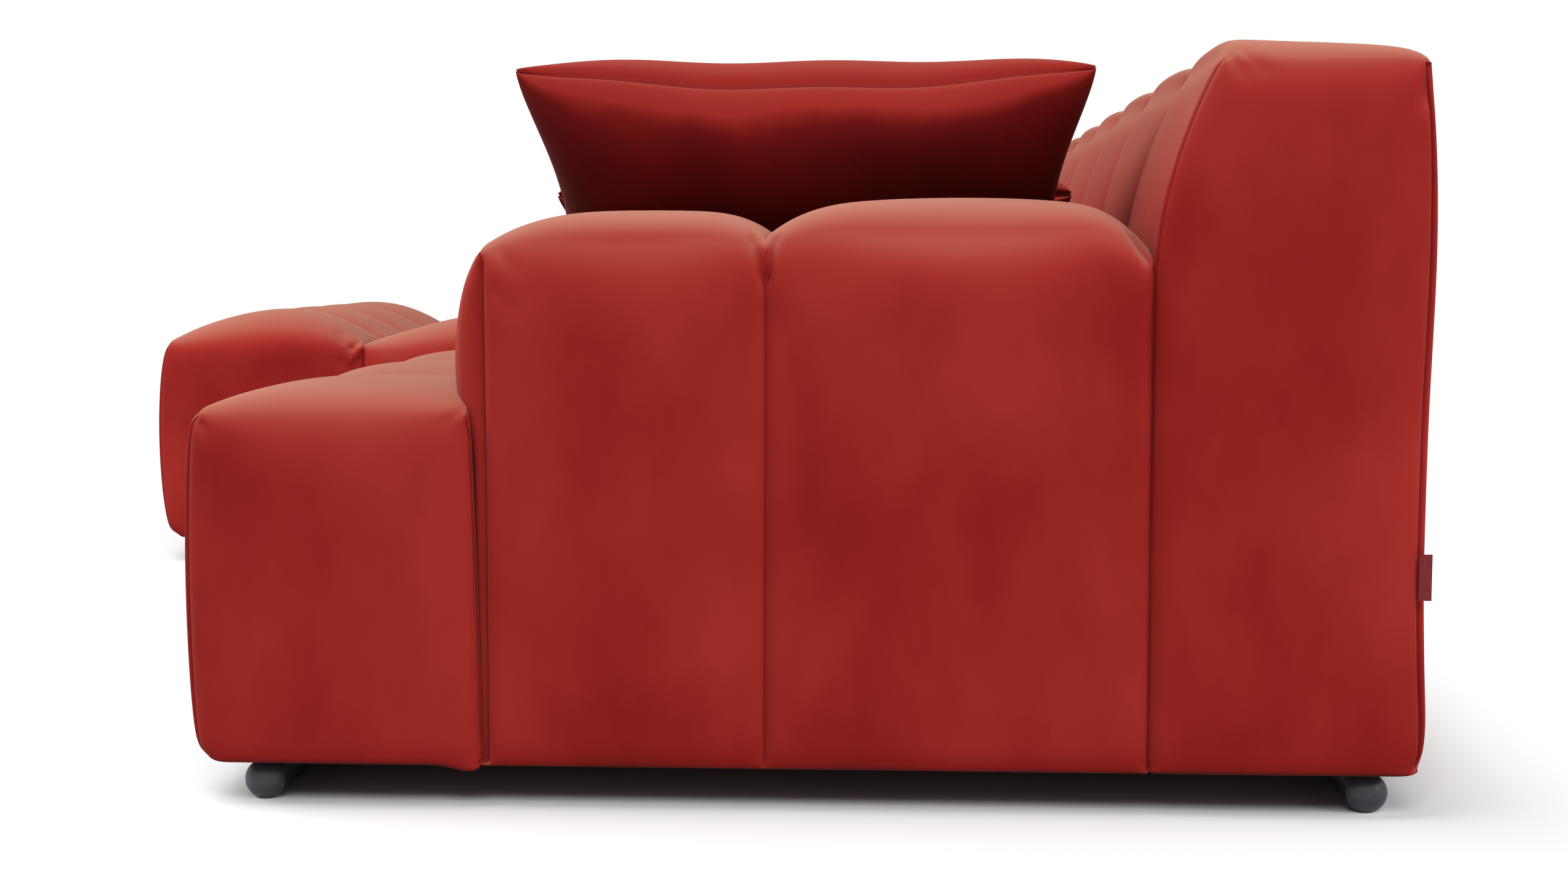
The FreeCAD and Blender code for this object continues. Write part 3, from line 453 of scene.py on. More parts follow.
def foot_fold(y, z, rear, low, end_gap):
    """A fold at the rear foot of an end."""
    along = bell(y - rear + FOOT_FOLD[0], FOOT_FOLD_WIDTH)
    upward = bell(z - low - FOOT_FOLD[1], FOOT_FOLD_WIDTH)
    return along * upward * (1 - smooth(0, FOOT_FOLD_REACH, end_gap))


def block_points(points, box, columns, rows, free, crown, slope, bulge, lean):
    """Rows of lobes with full-height sides: bulged front, crowned tops that fall over the free ends."""
    x, y, z = points.T
    ends, (y0, y1), (z0, z1) = box
    share, number = cell(y, rows)
    depth = np.diff(rows)[number]
    from_front = share * depth
    from_rear = (1 - share) * depth
    up = (z - z0) / (z1 - z0)
    deep = np.clip((y - y0) / (rows[1] - rows[0]), 0, 1)
    end_gap = free_distance(x, ends, free)
    full = lobes(x, columns, free)

    radius = ROW_TURN + ROW_TURN_GAIN * arch(share, HALF_ELLIPSE)
    shift_x, shift_z, out_x, out_z = waterfall(x, z, box, radius, free)
    rise = row_rise(from_front, from_rear, number, depth, len(rows) - 2, slope)
    dome = row_end(y, z, rows, z1, share, from_front, from_rear)
    lift = out_z ** 2 * crown * rise * (GROOVE_CROWN + (1 - GROOVE_CROWN) * full) + out_x ** 2 * dome
    new_x = x + shift_x + out_x * lift
    if ends[1] == CHAISE_JOINT:
        beside_main = smooth(MAIN_FRONT - PRESS_FADE, MAIN_FRONT + PRESS_FADE, y)
        new_x = new_x - JOINT_PRESS * beside_main * smooth(CHAISE_JOINT - PRESS_REACH, CHAISE_JOINT, x)
    new_z = z + shift_z + out_z * lift - GROOVE * (1 - full) * smooth(*UPPER_HALF, up)

    face = y0 + bulge
    flat_y = y1 - (y1 - y) * (y1 - face) / (y1 - y0)
    new_y = flat_y
    shoulder = SHOULDER + SHOULDER_GAIN * smooth(0, SHOULDER_REACH, end_gap)
    corners = (
        ((face, z1), (1, -1), shoulder),
        ((face, z0), (1, 1), FRONT_HEM),
        ((y1, z0), (-1, 1), HEM_TURN),
    )
    for corner, towards, turn in corners:
        dy, dz = corner_shift(flat_y, z, corner, towards, turn)
        new_y = new_y + dy
        new_z = new_z + dz
    swell = bulge * (HEM_BULGE + (1 - HEM_BULGE) * arch(up, HALF_ELLIPSE))
    swell = swell * (GROOVE_BULGE + (1 - GROOVE_BULGE) * full) - GROOVE * (1 - full)
    proud = FRONT_PROUD * (1 - roll(end_gap, FRONT_REACH)) * arch(up, TAUT) * (y == y0)
    new_y = new_y - swell * (1 - deep) ** 2 - proud - lean * deep * np.clip(up, 0, 1) ** LEAN_POWER
    if lean:
        fold = foot_fold(y, z, y1, z0, end_gap)
        new_z = new_z - FOOT_FOLD_DROP * fold
        new_y = new_y + FOOT_FOLD_PUSH * fold
    return np.stack((new_x, new_y, new_z), axis=1)


def make_block(name, body, ends, rows, columns, free, crown, slope, bulge, lean, material):
    """One front pad with its rows of lobes. The slope is the depth, length and power of its front fall."""
    box = (ends, (rows[0], rows[-1]), (UNDER, SEAT_SEAM))
    edges = column_edges(*ends, columns)
    steps = zip((edges, rows, [UNDER, SEAT_SEAM]), ROW_STEPS)
    points, quads = lattice(*(spaced(places, step) for places, step in steps))
    x, y, z = points.T
    outside = np.isin(x, ends) | (z == SEAT_SEAM)
    seam = (np.isin(y, rows) & outside) | (np.isin(x, edges[1:-1]) & (z == SEAT_SEAM))
    held = seam | (z == UNDER) | (y == rows[-1]) | fixed_ends(x, ends, free)
    points = block_points(points, box, edges, rows, free, crown, slope, bulge, lean)
    return dress(make_object(name, points, quads, material, held, seam), body, [name])


# Seats: how far a lobe rises above its seams and how far these lie below the level of the seam

SEAT_STEP = 20
SEAT_RISE = 38
SEAT_DIP = 8


def make_seat(name, body, ends, columns, material):
    """The tufted pad between the arm and the joint, in two rows."""
    rear = BACK_FRONT - MEETING_GAP
    rows = [ARM_PANEL, (ARM_FRONT + rear) / 2, rear]
    edges = column_edges(*ends, columns)
    levels = np.array([CORE_TOP, (CORE_TOP + SEAT_SEAM) / 2, SEAT_SEAM])
    points, quads = lattice(spaced(edges, SEAT_STEP), spaced(rows, SEAT_STEP), levels)
    x, y, z = points.T
    up = (z - CORE_TOP) / (SEAT_SEAM - CORE_TOP)
    full = arch(cell(x, edges)[0], LOBE) * arch(cell(y, rows)[0], LOBE)
    seam = (np.isin(x, edges) | np.isin(y, rows)) & (z == SEAT_SEAM)
    held = seam | (z < SEAT_SEAM)
    points = np.stack((x, y, z + up ** 2 * (SEAT_RISE * full - SEAT_DIP)), axis=1)
    return dress(make_object(name, points, quads, material, held, seam), body, [name])


# Armrests: a front lobe with a nose and a rear lobe that dips into the backrest

ARM_STEPS = (12, 8, 10)
ARM_STEP_TIGHT = 0.3
ARM_PANEL = -4
ARM_TURN = 16
ARM_TURN_GAIN = 42
ARM_CROWN = 12
# Side of a lobe: its swell, the share of the height that swells, and the dip beside a seam with its reach.
ARM_SWELL = 4
ARM_SWELL_TOP = 0.94
ARM_DIP = 9
ARM_DIP_REACH = 15
# Creases round an ear: depth, reach and number, with their turn at the front and at the rear.
ARM_EAR = (1.2, 24, 6)
FRONT_EAR_TURN = 0.5
REAR_EAR_TURN = 2.0
# Nose of the front lobe, and its root, which reaches down behind the front row.
NOSE = 40
NOSE_LEVEL = 450
NOSE_HALF = 112
NOSE_ROOT = 16
NOSE_ROOT_FADE = 60
NOSE_ROOT_POWER = 0.3
# How far the sides of the front panel turn back, over what width and depth.
END_TURN = 4
END_TURN_WIDTH = 14
END_TURN_DEPTH = 40


def arm_nose(x, y, z, box, nose):
    """How far the front of a lobe comes forward: a round nose, its root, and sides that turn back."""
    (x0, x1), (y0, _), _ = box
    across = (x - x0) / (x1 - x0)
    over = np.sqrt(np.clip(1 - ((z - NOSE_LEVEL) / NOSE_HALF) ** 2, 0, 1))
    below_seat = 1 - smooth(SEAT_SEAM - NOSE_ROOT_FADE, SEAT_SEAM, z)
    root = NOSE_ROOT * below_seat * arch(across, NOSE_ROOT_POWER)
    turned = roll(np.minimum(x - x0, x1 - x), END_TURN_WIDTH)
    turned = turned * np.clip(1 - (y - y0) / END_TURN_DEPTH, 0, 1) ** 2
    return (y == y0) * np.maximum(nose * over * arch(across, LOBE), root) - END_TURN * turned


def arm_points(points, box, front_fall, rear_fall, nose):
    """A lobe of an armrest. The falls are the depth, length and power of its drop towards either seam."""
    x, y, z = points.T
    (x0, x1), (y0, y1), (z0, z1) = box
    across = (x - x0) / (x1 - x0)
    along = (y - y0) / (y1 - y0)
    up = (z - z0) / (z1 - z0)
    from_front = y - y0
    from_rear = y1 - y
    radius = ARM_TURN + ARM_TURN_GAIN * arch(along, HALF_ELLIPSE)
    shift_x, shift_z, out_x, out_z = waterfall(x, z, box, radius, (True, True))
    drop = fall(from_front, *front_fall) + fall(from_rear, *rear_fall)
    swell = ARM_SWELL * arch(along, HALF_ELLIPSE) * arch(np.clip(ARM_SWELL_TOP * up, 0, 1), TAUT)
    swell = swell - ARM_DIP * (roll(from_front, ARM_DIP_REACH) + roll(from_rear, ARM_DIP_REACH))
    fold = ear_folds(y, z, (y0, z1 - front_fall[0]), *ARM_EAR, FRONT_EAR_TURN)
    fold = fold + ear_folds(y, z, (y1, z1 - rear_fall[0]), *ARM_EAR, REAR_EAR_TURN)
    new_x = x + shift_x + out_x * (out_x ** 2 * swell + fold)
    crown = ARM_CROWN * arch(across, DOME) * up ** 3
    new_z = z + shift_z + out_z * fold + crown - drop * smooth(*UPPER_HALF, up)
    new_y = y - arm_nose(x, y, z, box, nose) if nose else y
    return np.stack((new_x, new_y, new_z), axis=1)


def make_arm(arm, body, ends, material):
    """Two lobes that meet in a pinched seam."""
    lobes_of_arm = (
        ("front", ARM_PANEL, ARM_SEAM + SEAM_PRESS, ARM_LEVEL,
         (30, 115, 2.7), (26, 78, 3), NOSE),
        ("rear", ARM_SEAM - SEAM_PRESS, BACK_FRONT + SEAM_PRESS, ARM_REAR_LEVEL,
         (33, 98, 2.6), (46, 66, 2.0), 0),
    )
    pads = []
    for end, front, rear, crest, front_fall, rear_fall, nose in lobes_of_arm:
        name = f"{arm}_arm_{end}_pad"
        box = (ends, (front, rear), (UNDER, crest))
        across = spaced(ends, ARM_STEPS[0])
        along = spaced([front, rear], ARM_STEPS[1])
        points, quads = lattice(across, along, spaced([UNDER, crest], ARM_STEPS[2], ARM_STEP_TIGHT))
        x, y, z = points.T
        rim = np.isin(x, ends) | (z == crest)
        seam = np.isin(y, (front, rear)) & rim
        held = seam | (z == UNDER) | (y == rear)
        points = arm_points(points, box, front_fall, rear_fall, nose)
        pad = make_object(name, points, quads, material, held, seam)
        pads.append(dress(pad, body, [name]))
    return pads


# Backrest

BACK_STEPS = (14, 11, 13)
# Radius with which the top turns over an end, at its edges and its gain in the middle.
BACK_TURN = 12
BACK_TURN_GAIN = 40
# Length from a free end over which the backrest takes its inner form.
INNER_REACH = 90
# Top: its crest, the gain further in, the fall to the rear, and the rolls over the front and the rear.
BACK_CREST = 13
INNER_CREST = 5
REAR_FALL = 10
FRONT_ROLL_REACH = 52
REAR_ROLL_DROP = 19
REAR_ROLL_REACH = 58
# Top above an end panel: how far it dips at the front, and rises from there over a share of the depth.
PANEL_DIP = 3
PANEL_RISE = 8
PANEL_RISE_SPAN = (0.2, 0.6)
# End panel: dips beside its front and rear seam, each with its reach, and the creases round its ears.
PANEL_FRONT_DIP = 8
PANEL_FRONT_REACH = 14
PANEL_REAR_DIP = 16
PANEL_REAR_REACH = 60
PANEL_FRONT_EAR = (2.2, 36, 7, 0.4)
PANEL_REAR_EAR = (2.6, 40, 6, 1.1)
PANEL_REAR_EAR_DROP = 6
# Channels between lobes: depth, and the share of the height over which they come in.
CHANNEL = 9
CHANNEL_SPAN = (0.3, 0.6)
# Radius of the top front edge at an end, its gain further in, and the radius of the rear hem.
TOP_EDGE = 5
TOP_EDGE_GAIN = 20
REAR_HEM = 22
# Front: level of the knee, the lean above it and its power.
KNEE = 510
KNEE_LEAN = 63
KNEE_POWER = 1.9
# Rear: how far it is drawn in beside an end, over what reach, and how far it lies inside at some levels.
REAR_DRAW = 8
REAR_DRAW_REACH = 36
REAR_LEVELS = (38, 85, 130, 220, 390, 450, 530, 600, 650, 728)
REAR_INSETS = (-1, -3, 0, 3, 2, 0, -2, -1, 1, 8)


def back_points(points, box, columns, free):
    """A backrest: channels, a front that leans back above its knee, a top that falls over the end."""
    x, y, z = points.T
    ends, (y0, y1), (z0, z1) = box
    full = lobes(x, columns, free)
    up = (z - z0) / (z1 - z0)
    deep = (y - y0) / (y1 - y0)
    from_front = y - y0
    from_rear = y1 - y
    end_gap = free_distance(x, ends, free)
    inner = smooth(0, INNER_REACH, end_gap)

    radius = BACK_TURN + BACK_TURN_GAIN * arch(deep, TAUT)
    shift_x, shift_z, out_x, out_z = waterfall(x, z, box, radius, free)
    front_roll = roll(from_front, FRONT_ROLL_REACH) * (1 - inner)
    rise = BACK_CREST * (1 - front_roll) + INNER_CREST * inner * (1 - deep)
    rise = rise - REAR_ROLL_DROP * roll(from_rear, REAR_ROLL_REACH) - REAR_FALL * deep
    rise = rise + (PANEL_RISE * smooth(*PANEL_RISE_SPAN, deep) - PANEL_DIP) * (1 - inner)
    dome = END_DOME * arch(deep, DOME) - PANEL_FRONT_DIP * roll(from_front, PANEL_FRONT_REACH)
    dome = dome - PANEL_REAR_DIP * roll(from_rear, PANEL_REAR_REACH)
    dome = dome + ear_folds(y, z, (y0, z1), *PANEL_FRONT_EAR)
    dome = dome + ear_folds(y, z, (y1, z1 - PANEL_REAR_EAR_DROP), *PANEL_REAR_EAR)
    lift = out_z ** 2 * rise + out_x ** 2 * dome
    hollow = CHANNEL * (1 - full)
    new_x = x + shift_x + out_x * lift
    new_z = z + shift_z + out_z * lift - hollow * up ** 3

    new_y = y
    corners = (
        ((y0, z1), (1, -1), TOP_EDGE + TOP_EDGE_GAIN * inner),
        ((y1, z0), (-1, 1), REAR_HEM),
        ((y0, z0), (1, 1), HEM_TURN),
    )
    for corner, towards, turn in corners:
        dy, dz = corner_shift(y, z, corner, towards, turn)
        new_y = new_y + dy
        new_z = new_z + dz
    lean = KNEE_LEAN * np.clip((z - KNEE) / (z1 - KNEE), 0, 1) ** KNEE_POWER
    rear_inset = np.interp(z, REAR_LEVELS, REAR_INSETS)
    rear_seam = REAR_DRAW * roll(end_gap, REAR_DRAW_REACH) * (y == y1)
    front = lean + hollow * smooth(*CHANNEL_SPAN, up)
    new_y = new_y + front * (1 - deep) - rear_inset * deep - rear_seam
    return np.stack((new_x, new_y, new_z), axis=1)


def make_back(name, body, ends, columns, free, material):
    """The cover of a backrest with its channels and its end panel."""
    edges = column_edges(*ends, columns)
    box = (ends, (BACK_FRONT, REAR), (UNDER, BACK_EAR))
    steps = zip((edges, [BACK_FRONT, REAR], [UNDER, BACK_EAR]), BACK_STEPS)
    points, quads = lattice(*(spaced(places, step) for places, step in steps))
    x, y, z = points.T
    panel = np.isin(x, ends) & np.isin(y, (BACK_FRONT, REAR))
    channel = np.isin(x, edges[1:-1]) & ((y == BACK_FRONT) | (z == BACK_EAR))
    seam = panel | channel | ((y == REAR) & (z == BACK_EAR))
    held = seam | (z == UNDER) | fixed_ends(x, ends, free)
    points = back_points(points, box, edges, free)
    return dress(make_object(name, points, quads, material, held, seam), body, [name])


# Loose pillows

PILLOW_WIDTH = 620
PILLOW_HEIGHT = 400
PILLOW_THICK = 176
PILLOW_STEPS = (64, 42)
PILLOW_TILTS = {"upright_pillow": 40, "low_pillow": 68}
# How far an insert lies inside its cover.
INSERT_MARGIN = 16
# How far the sides, and the top and bottom, are drawn in between the ears.
SIDE_DRAW = 36
SIDE_DRAW_POWER = 1.6
TOP_DRAW = 20
# Powers of the swell across the width and the height, and fullness of the faces to seat and arm.
WIDTH_SWELL = (2.6, 0.42)
HEIGHT_SWELL = (3, 0.36)
SEAT_FACE_FULL = 1.12
ARM_FACE_FULL = 0.84
# Folds that fan out from the ears, creases over a face, and waves along the top and bottom seam.
EAR_FOLD = 5
EAR_FOLD_REACH = 0.35
EAR_FOLD_COUNT = 9
CREASE = 2.5
CREASE_COUNTS = (8.3, 2.1)
CREASE_TURN = 1.7
WAVE = 2.5
WAVE_COUNT = 9
WAVE_TURN = 1.2


def pillow_points(share_a, share_b, face, margin):
    """A point of a pillow's face. Shares run from -1 to 1 across its width and height."""
    pull_a = SIDE_DRAW * (1 - share_b ** 2) ** SIDE_DRAW_POWER
    pull_b = TOP_DRAW * (1 - share_a ** 2)
    a = share_a * (PILLOW_WIDTH / 2 - margin - pull_a * np.abs(share_a))
    b = share_b * (PILLOW_HEIGHT / 2 - margin - pull_b * np.abs(share_b))
    puff = (1 - np.abs(share_a) ** WIDTH_SWELL[0]) ** WIDTH_SWELL[1]
    puff = puff * (1 - np.abs(share_b) ** HEIGHT_SWELL[0]) ** HEIGHT_SWELL[1]
    fullness = SEAT_FACE_FULL if face < 0 else ARM_FACE_FULL
    to_ear = np.hypot(1 - np.abs(share_a), 1 - np.abs(share_b))
    turn = np.arctan2(1 - np.abs(share_b), 1 - np.abs(share_a))
    fan = np.cos(EAR_FOLD_COUNT * turn + 2 * np.sign(share_a) + face)
    folds = EAR_FOLD * np.exp(-to_ear / EAR_FOLD_REACH) * fan * puff
    phase = CREASE_COUNTS[0] * share_a + CREASE_COUNTS[1] * share_b + CREASE_TURN * face
    creases = CREASE * np.sin(phase) * puff
    b = b + WAVE * np.sin(WAVE_COUNT * share_a + WAVE_TURN) * share_b ** 3
    return face * (fullness * (PILLOW_THICK / 2 - margin / 2) * puff + folds + creases), a, b


def make_pillow(name, body, tilt, margin, material):
    """A sewn pillow or its insert: two swollen faces that meet in a seam, leaning back by its tilt."""
    low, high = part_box(name)
    centre = (low + high) / 2 / MM
    count_a, count_b = PILLOW_STEPS
    steps_a = np.sin(np.linspace(-1, 1, count_a + 1) * np.pi / 2)
    steps_b = np.sin(np.linspace(-1, 1, count_b + 1) * np.pi / 2)
    index = {}
    points = []
    rims = []
    quads = []

    def at(i, j, face):
        rim = i in (0, count_a) or j in (0, count_b)
        key = (i, j, 0 if rim else face)
        if key not in index:
            index[key] = len(points)
            points.append(pillow_points(steps_a[i], steps_b[j], face, margin))
            rims.append(rim)
        return index[key]

    for face in (1, -1):
        for i in range(count_a):
            for j in range(count_b):
                quad = (at(i, j, face), at(i + 1, j, face), at(i + 1, j + 1, face), at(i, j + 1, face))
                quads.append(quad if face > 0 else quad[::-1])
    turn = math.radians(tilt)
    depth, across, upward = np.array(points).T
    x = centre[0] + depth * math.cos(turn) + upward * math.sin(turn)
    z = centre[2] - depth * math.sin(turn) + upward * math.cos(turn)
    points = np.stack((x, centre[1] + across, z), axis=1)
    piece = make_object(name, points, quads, material, np.array(rims), np.array(rims))
    return dress(piece, body, [name])


# Tucked folds beside the seams and ears of the outer ends: foot and head in Y and Z, depth and width.
ROW_SEAM = CHAISE_ROWS[0]
FOLDS = {
    "main_front_pad": (
        ((-34, 376), (-16, 392), 3, 5),
        ((-270, 366), (-283, 384), 4, 5),
    ),
    "chaise_front_pad": (
        ((ROW_SEAM, 376), (ROW_SEAM - 20, 400), 7, 5),
        ((ROW_SEAM + 1, 376), (ROW_SEAM + 17, 398), 7, 5),
        ((ROW_SEAM - 1, 340), (ROW_SEAM - 13, 353), 5, 5),
        ((ROW_SEAM + 1, 340), (ROW_SEAM + 13, 355), 5, 5),
    ),
    "near_arm_front_pad": (
        ((ARM_SEAM + 1, 508), (ARM_SEAM - 10, 551), 7, 4),
        ((34, 520), (17, 540), 3, 6),
        ((30, 484), (14, 500), 2, 6),
    ),
    "near_arm_rear_pad": (
        ((ARM_SEAM + 1, 508), (ARM_SEAM + 9, 551), 7, 4),
        ((631, 530), (618, 556), 5, 5),
    ),
    "main_back_pad": (
        ((716, 700), (702, 724), 4, 5),
        ((734, 704), (712, 728), 3, 5),
        ((884, 676), (891, 718), 6, 6),
    ),
}


# Materials. Tones of velvet: painted shade where a face turns down, the upright tone, painted light where
# a face turns up, and a painted sheen on upturned faces seen at a grazing look.

SOFA_TONES = ((70, 13, 13), (127, 26, 23), (150, 54, 46), (170, 114, 96))
# The pillows' velvet is a darker copy of the sofa's, with painted shade.
SHADED_PILLOW_TONES = ((50, 9, 9), (104, 19, 18), (132, 34, 29), (146, 58, 49))
# Velvet along a brushed stroke, a random tone that also stands between the upright tone and the painted
# light, and the painted shade in a seam with how fast it fades beside it.
PILE_BRUSHED = (146, 39, 34)
SEAM_PAINTED_SHADE = (98, 18, 17)
SEAM_FADE = 4
# Where the tones stand along the ramp, which follows the random brushing and the painted light and shade
# of the slope: painted shade, upright, brushed and painted light.
TONE_PLACES = (0.05, 0.42, 0.60, 0.96)
# How the ramp place follows from the slope, as painted light and shade, and from the brushing, and how far
# a face turns up for the painted sheen: gains and offsets.
SLOPE_PAINTED_LIGHT = (0.5, 0.25)
BRUSH_LIE = 0.5
PAINTED_SHEEN_SLOPE = (2.0, -0.4)
# Where the dark and the light tone of other finishes stand along their noise.
FIBRE_PLACES = (0.35, 0.68)
METAL_PLACES = (0.3, 0.7)


def node_material(name):
    """A new material with its nodes, links and shader."""
    material = bpy.data.materials.new(name)
    material.use_nodes = True
    shader = material.node_tree.nodes["Principled BSDF"]
    return material, material.node_tree.nodes, material.node_tree.links, shader


def set_sockets(shader, **sockets):
    """Sets constants on a shader's sockets."""
    for name, value in sockets.items():
        shader.inputs[name.replace("_", " ")].default_value = value


def linear(red, green, blue):
    """A linear colour from sRGB values of 0 to 255."""
    def one(value):
        value /= 255
        return value / 12.92 if value <= 0.04045 else ((value + 0.055) / 1.055) ** 2.4
    return (one(red), one(green), one(blue), 1)


def noise(nodes, links, scale, detail, stretch=(1, 1, 1)):
    """A noise texture over the object's own coordinates."""
    coordinates = nodes.new("ShaderNodeTexCoord")
    mapping = nodes.new("ShaderNodeMapping")
    mapping.inputs["Scale"].default_value = stretch
    links.new(coordinates.outputs["Object"], mapping.inputs["Vector"])
    texture = nodes.new("ShaderNodeTexNoise")
    texture.inputs["Scale"].default_value = scale
    texture.inputs["Detail"].default_value = detail
    links.new(mapping.outputs["Vector"], texture.inputs["Vector"])
    return texture


def ramp(nodes, links, source, stops):
    """A colour ramp over a texture's value."""
    node = nodes.new("ShaderNodeValToRGB")
    elements = node.color_ramp.elements
    while len(elements) < len(stops):
        elements.new(0.5)
    for element, (place, colour) in zip(elements, stops):
        element.position = place
        element.color = colour
    links.new(source, node.inputs["Fac"])
    return node


def bump(nodes, links, shader, source, strength, distance, under=None):
    """Roughens a surface by a texture's value, on top of another bump if there is one."""
    node = nodes.new("ShaderNodeBump")
    node.inputs["Strength"].default_value = strength
    node.inputs["Distance"].default_value = distance
    links.new(source, node.inputs["Height"])
    if under:
        links.new(under.outputs["Normal"], node.inputs["Normal"])
    links.new(node.outputs["Normal"], shader.inputs["Normal"])
    return node


def math_node(nodes, links, operation, *inputs):
    """One operation on numbers and on the values of other nodes."""
    node = nodes.new("ShaderNodeMath")
    node.operation = operation
    for socket, value in zip(node.inputs, inputs):
        if isinstance(value, (int, float)):
            socket.default_value = value
        else:
            links.new(value, socket)
    return node


def blend_colour(nodes, links, share, source, colour):
    """Turns a colour into another one, given as sRGB, by a share."""
    mix = nodes.new("ShaderNodeMix")
    mix.data_type = "RGBA"
    links.new(share, mix.inputs["Factor"])
    links.new(source, mix.inputs["A"])
    mix.inputs["B"].default_value = linear(*colour)
    return mix


def velvet_material(name, under, side, over, pale):
    """Brushed velvet with painted shade on faces that turn down, painted light on faces that turn up, a
    painted sheen on upturned faces seen at a grazing look, and painted shade in its seams.
    """
    material, nodes, links, shader = node_material(name)
    brushed = noise(nodes, links, scale=7.0, detail=4.0, stretch=(1, 1, 0.6))
    surface = nodes.new("ShaderNodeNewGeometry")
    facing = nodes.new("ShaderNodeSeparateXYZ")
    links.new(surface.outputs["Normal"], facing.inputs[0])
    # Painted light and shade: faces that turn up take lighter tones and faces that turn down darker ones,
    # shifted by the random brushing.
    upward = math_node(nodes, links, "MULTIPLY_ADD", facing.outputs["Z"], *SLOPE_PAINTED_LIGHT)
    brushing_and_painted_light = math_node(nodes, links, "MULTIPLY_ADD", brushed.outputs["Fac"], BRUSH_LIE, upward.outputs[0])
    tones = zip(TONE_PLACES, (under, side, PILE_BRUSHED, over))
    tone = ramp(nodes, links, brushing_and_painted_light.outputs[0], [(place, linear(*colour)) for place, colour in tones])
    # Painted sheen: faces that turn up are blended towards the pale tone where they are seen at a grazing
    # look.
    grazing = nodes.new("ShaderNodeLayerWeight")
    grazing.inputs["Blend"].default_value = 0.5
    flat = math_node(nodes, links, "MULTIPLY_ADD", facing.outputs["Z"], *PAINTED_SHEEN_SLOPE)
    flat.use_clamp = True
    sheen = math_node(nodes, links, "MULTIPLY", grazing.outputs["Facing"], flat.outputs[0])
    painted_sheen_tone = blend_colour(nodes, links, sheen.outputs[0], tone.outputs["Color"], pale)
    # Painted shade in the seams: the seam attribute darkens the velvet along the stitched edges.
    sewn = nodes.new("ShaderNodeAttribute")
    sewn.attribute_name = "seam"
    shade = math_node(nodes, links, "POWER", sewn.outputs["Fac"], SEAM_FADE)
    shaded = blend_colour(nodes, links, shade.outputs[0], painted_sheen_tone.outputs["Result"], SEAM_PAINTED_SHADE)
    links.new(shaded.outputs["Result"], shader.inputs["Base Color"])
    pile = noise(nodes, links, scale=420.0, detail=2.0)
    streak = noise(nodes, links, scale=70.0, detail=3.0, stretch=(1, 1, 0.25))
    first = bump(nodes, links, shader, streak.outputs["Fac"], strength=0.12, distance=0.002)
    bump(nodes, links, shader, pile.outputs["Fac"], strength=0.25, distance=0.0008, under=first)
    set_sockets(
        shader, Roughness=0.85, Specular_IOR_Level=0.05, Sheen_Weight=0.12, Sheen_Roughness=0.35,
        Sheen_Tint=(1.0, 0.58, 0.44, 1))
    return material


def grained_material(name, tones, places, scale, detail, strength, distance, stretch=(1, 1, 1), **sockets):
    """Two tones over a stretched noise, with a bump to match."""
    material, nodes, links, shader = node_material(name)
    grain = noise(nodes, links, scale, detail, stretch)
    stops = [(place, linear(*tone)) for place, tone in zip(places, tones)]
    tone = ramp(nodes, links, grain.outputs["Fac"], stops)
    links.new(tone.outputs["Color"], shader.inputs["Base Color"])
    bump(nodes, links, shader, grain.outputs["Fac"], strength, distance)
    set_sockets(shader, **sockets)
    return material


def fibre_material(name, dark, light, scale, roughness, stretch=(1, 1, 1)):
    """Wood, board, foam, webbing or lining."""
    return grained_material(
        name, (dark, light), FIBRE_PLACES, scale, detail=5.0, strength=0.35, distance=0.0006,
        stretch=stretch, Roughness=roughness, Specular_IOR_Level=0.3)


def node_finishes():
    """Finishes of the solids, by the last words of their names."""
    pine = fibre_material("pine", (176, 130, 82), (206, 164, 112), 30, 0.6, stretch=(0.15, 1, 1))
    plywood = fibre_material("plywood", (186, 146, 98), (214, 180, 134), 40, 0.6, stretch=(1, 0.2, 1))
    foam = fibre_material("foam", (222, 206, 160), (238, 226, 188), 300, 0.9)
    lining = fibre_material("black_lining", (18, 18, 19), (32, 32, 34), 600, 0.9)
    steel = grained_material(
        "zinc_steel", ((150, 152, 154), (190, 192, 194)), METAL_PLACES, scale=260.0, detail=3.0,
        strength=0.15, distance=0.0003, stretch=(1, 6, 1), Roughness=0.36, Metallic=1.0)
    hardboard = fibre_material("hardboard", (110, 76, 50), (134, 96, 66), 120, 0.7)
    filling = fibre_material("fibre_filling", (226, 224, 218), (244, 243, 240), 160, 0.95)
    webbing = fibre_material("webbing", (36, 36, 38), (70, 68, 66), 420, 0.8, stretch=(1, 3, 1))
    tag = fibre_material("woven_tag", (92, 18, 20), (116, 28, 28), 700, 0.7)
    bar = grained_material(
        "black_bar", ((34, 32, 38), (48, 45, 53)), METAL_PLACES, scale=900.0, detail=2.0,
        strength=0.2, distance=0.0004, Roughness=0.42, Specular_IOR_Level=0.5)
    return {
        "rail": pine, "struts": pine, "blocks": pine, "posts": pine,
        "formers": plywood, "board": plywood, "panel": hardboard,
        "foam": foam, "insert": filling, "webbing": webbing,
        "cover": lining, "lining": lining, "tag": tag,
        "saddles": steel, "hooks": steel, "receivers": steel, "feet": bar,
    }


def dress_nodes(finishes):
    """Gives each solid that stays the finish of its kind."""
    for name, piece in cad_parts.items():
        kind = name.rsplit("_", 1)[-1]
        if kind in finishes:
            piece.data.materials.clear()
            piece.data.materials.append(finishes[kind])


# Stage, light and camera, in metres

FLOOR_HALF = 30
FLOOR_TONE = (0.84, 0.86, 0.86, 1)
WHITE = (1, 1, 1, 1)
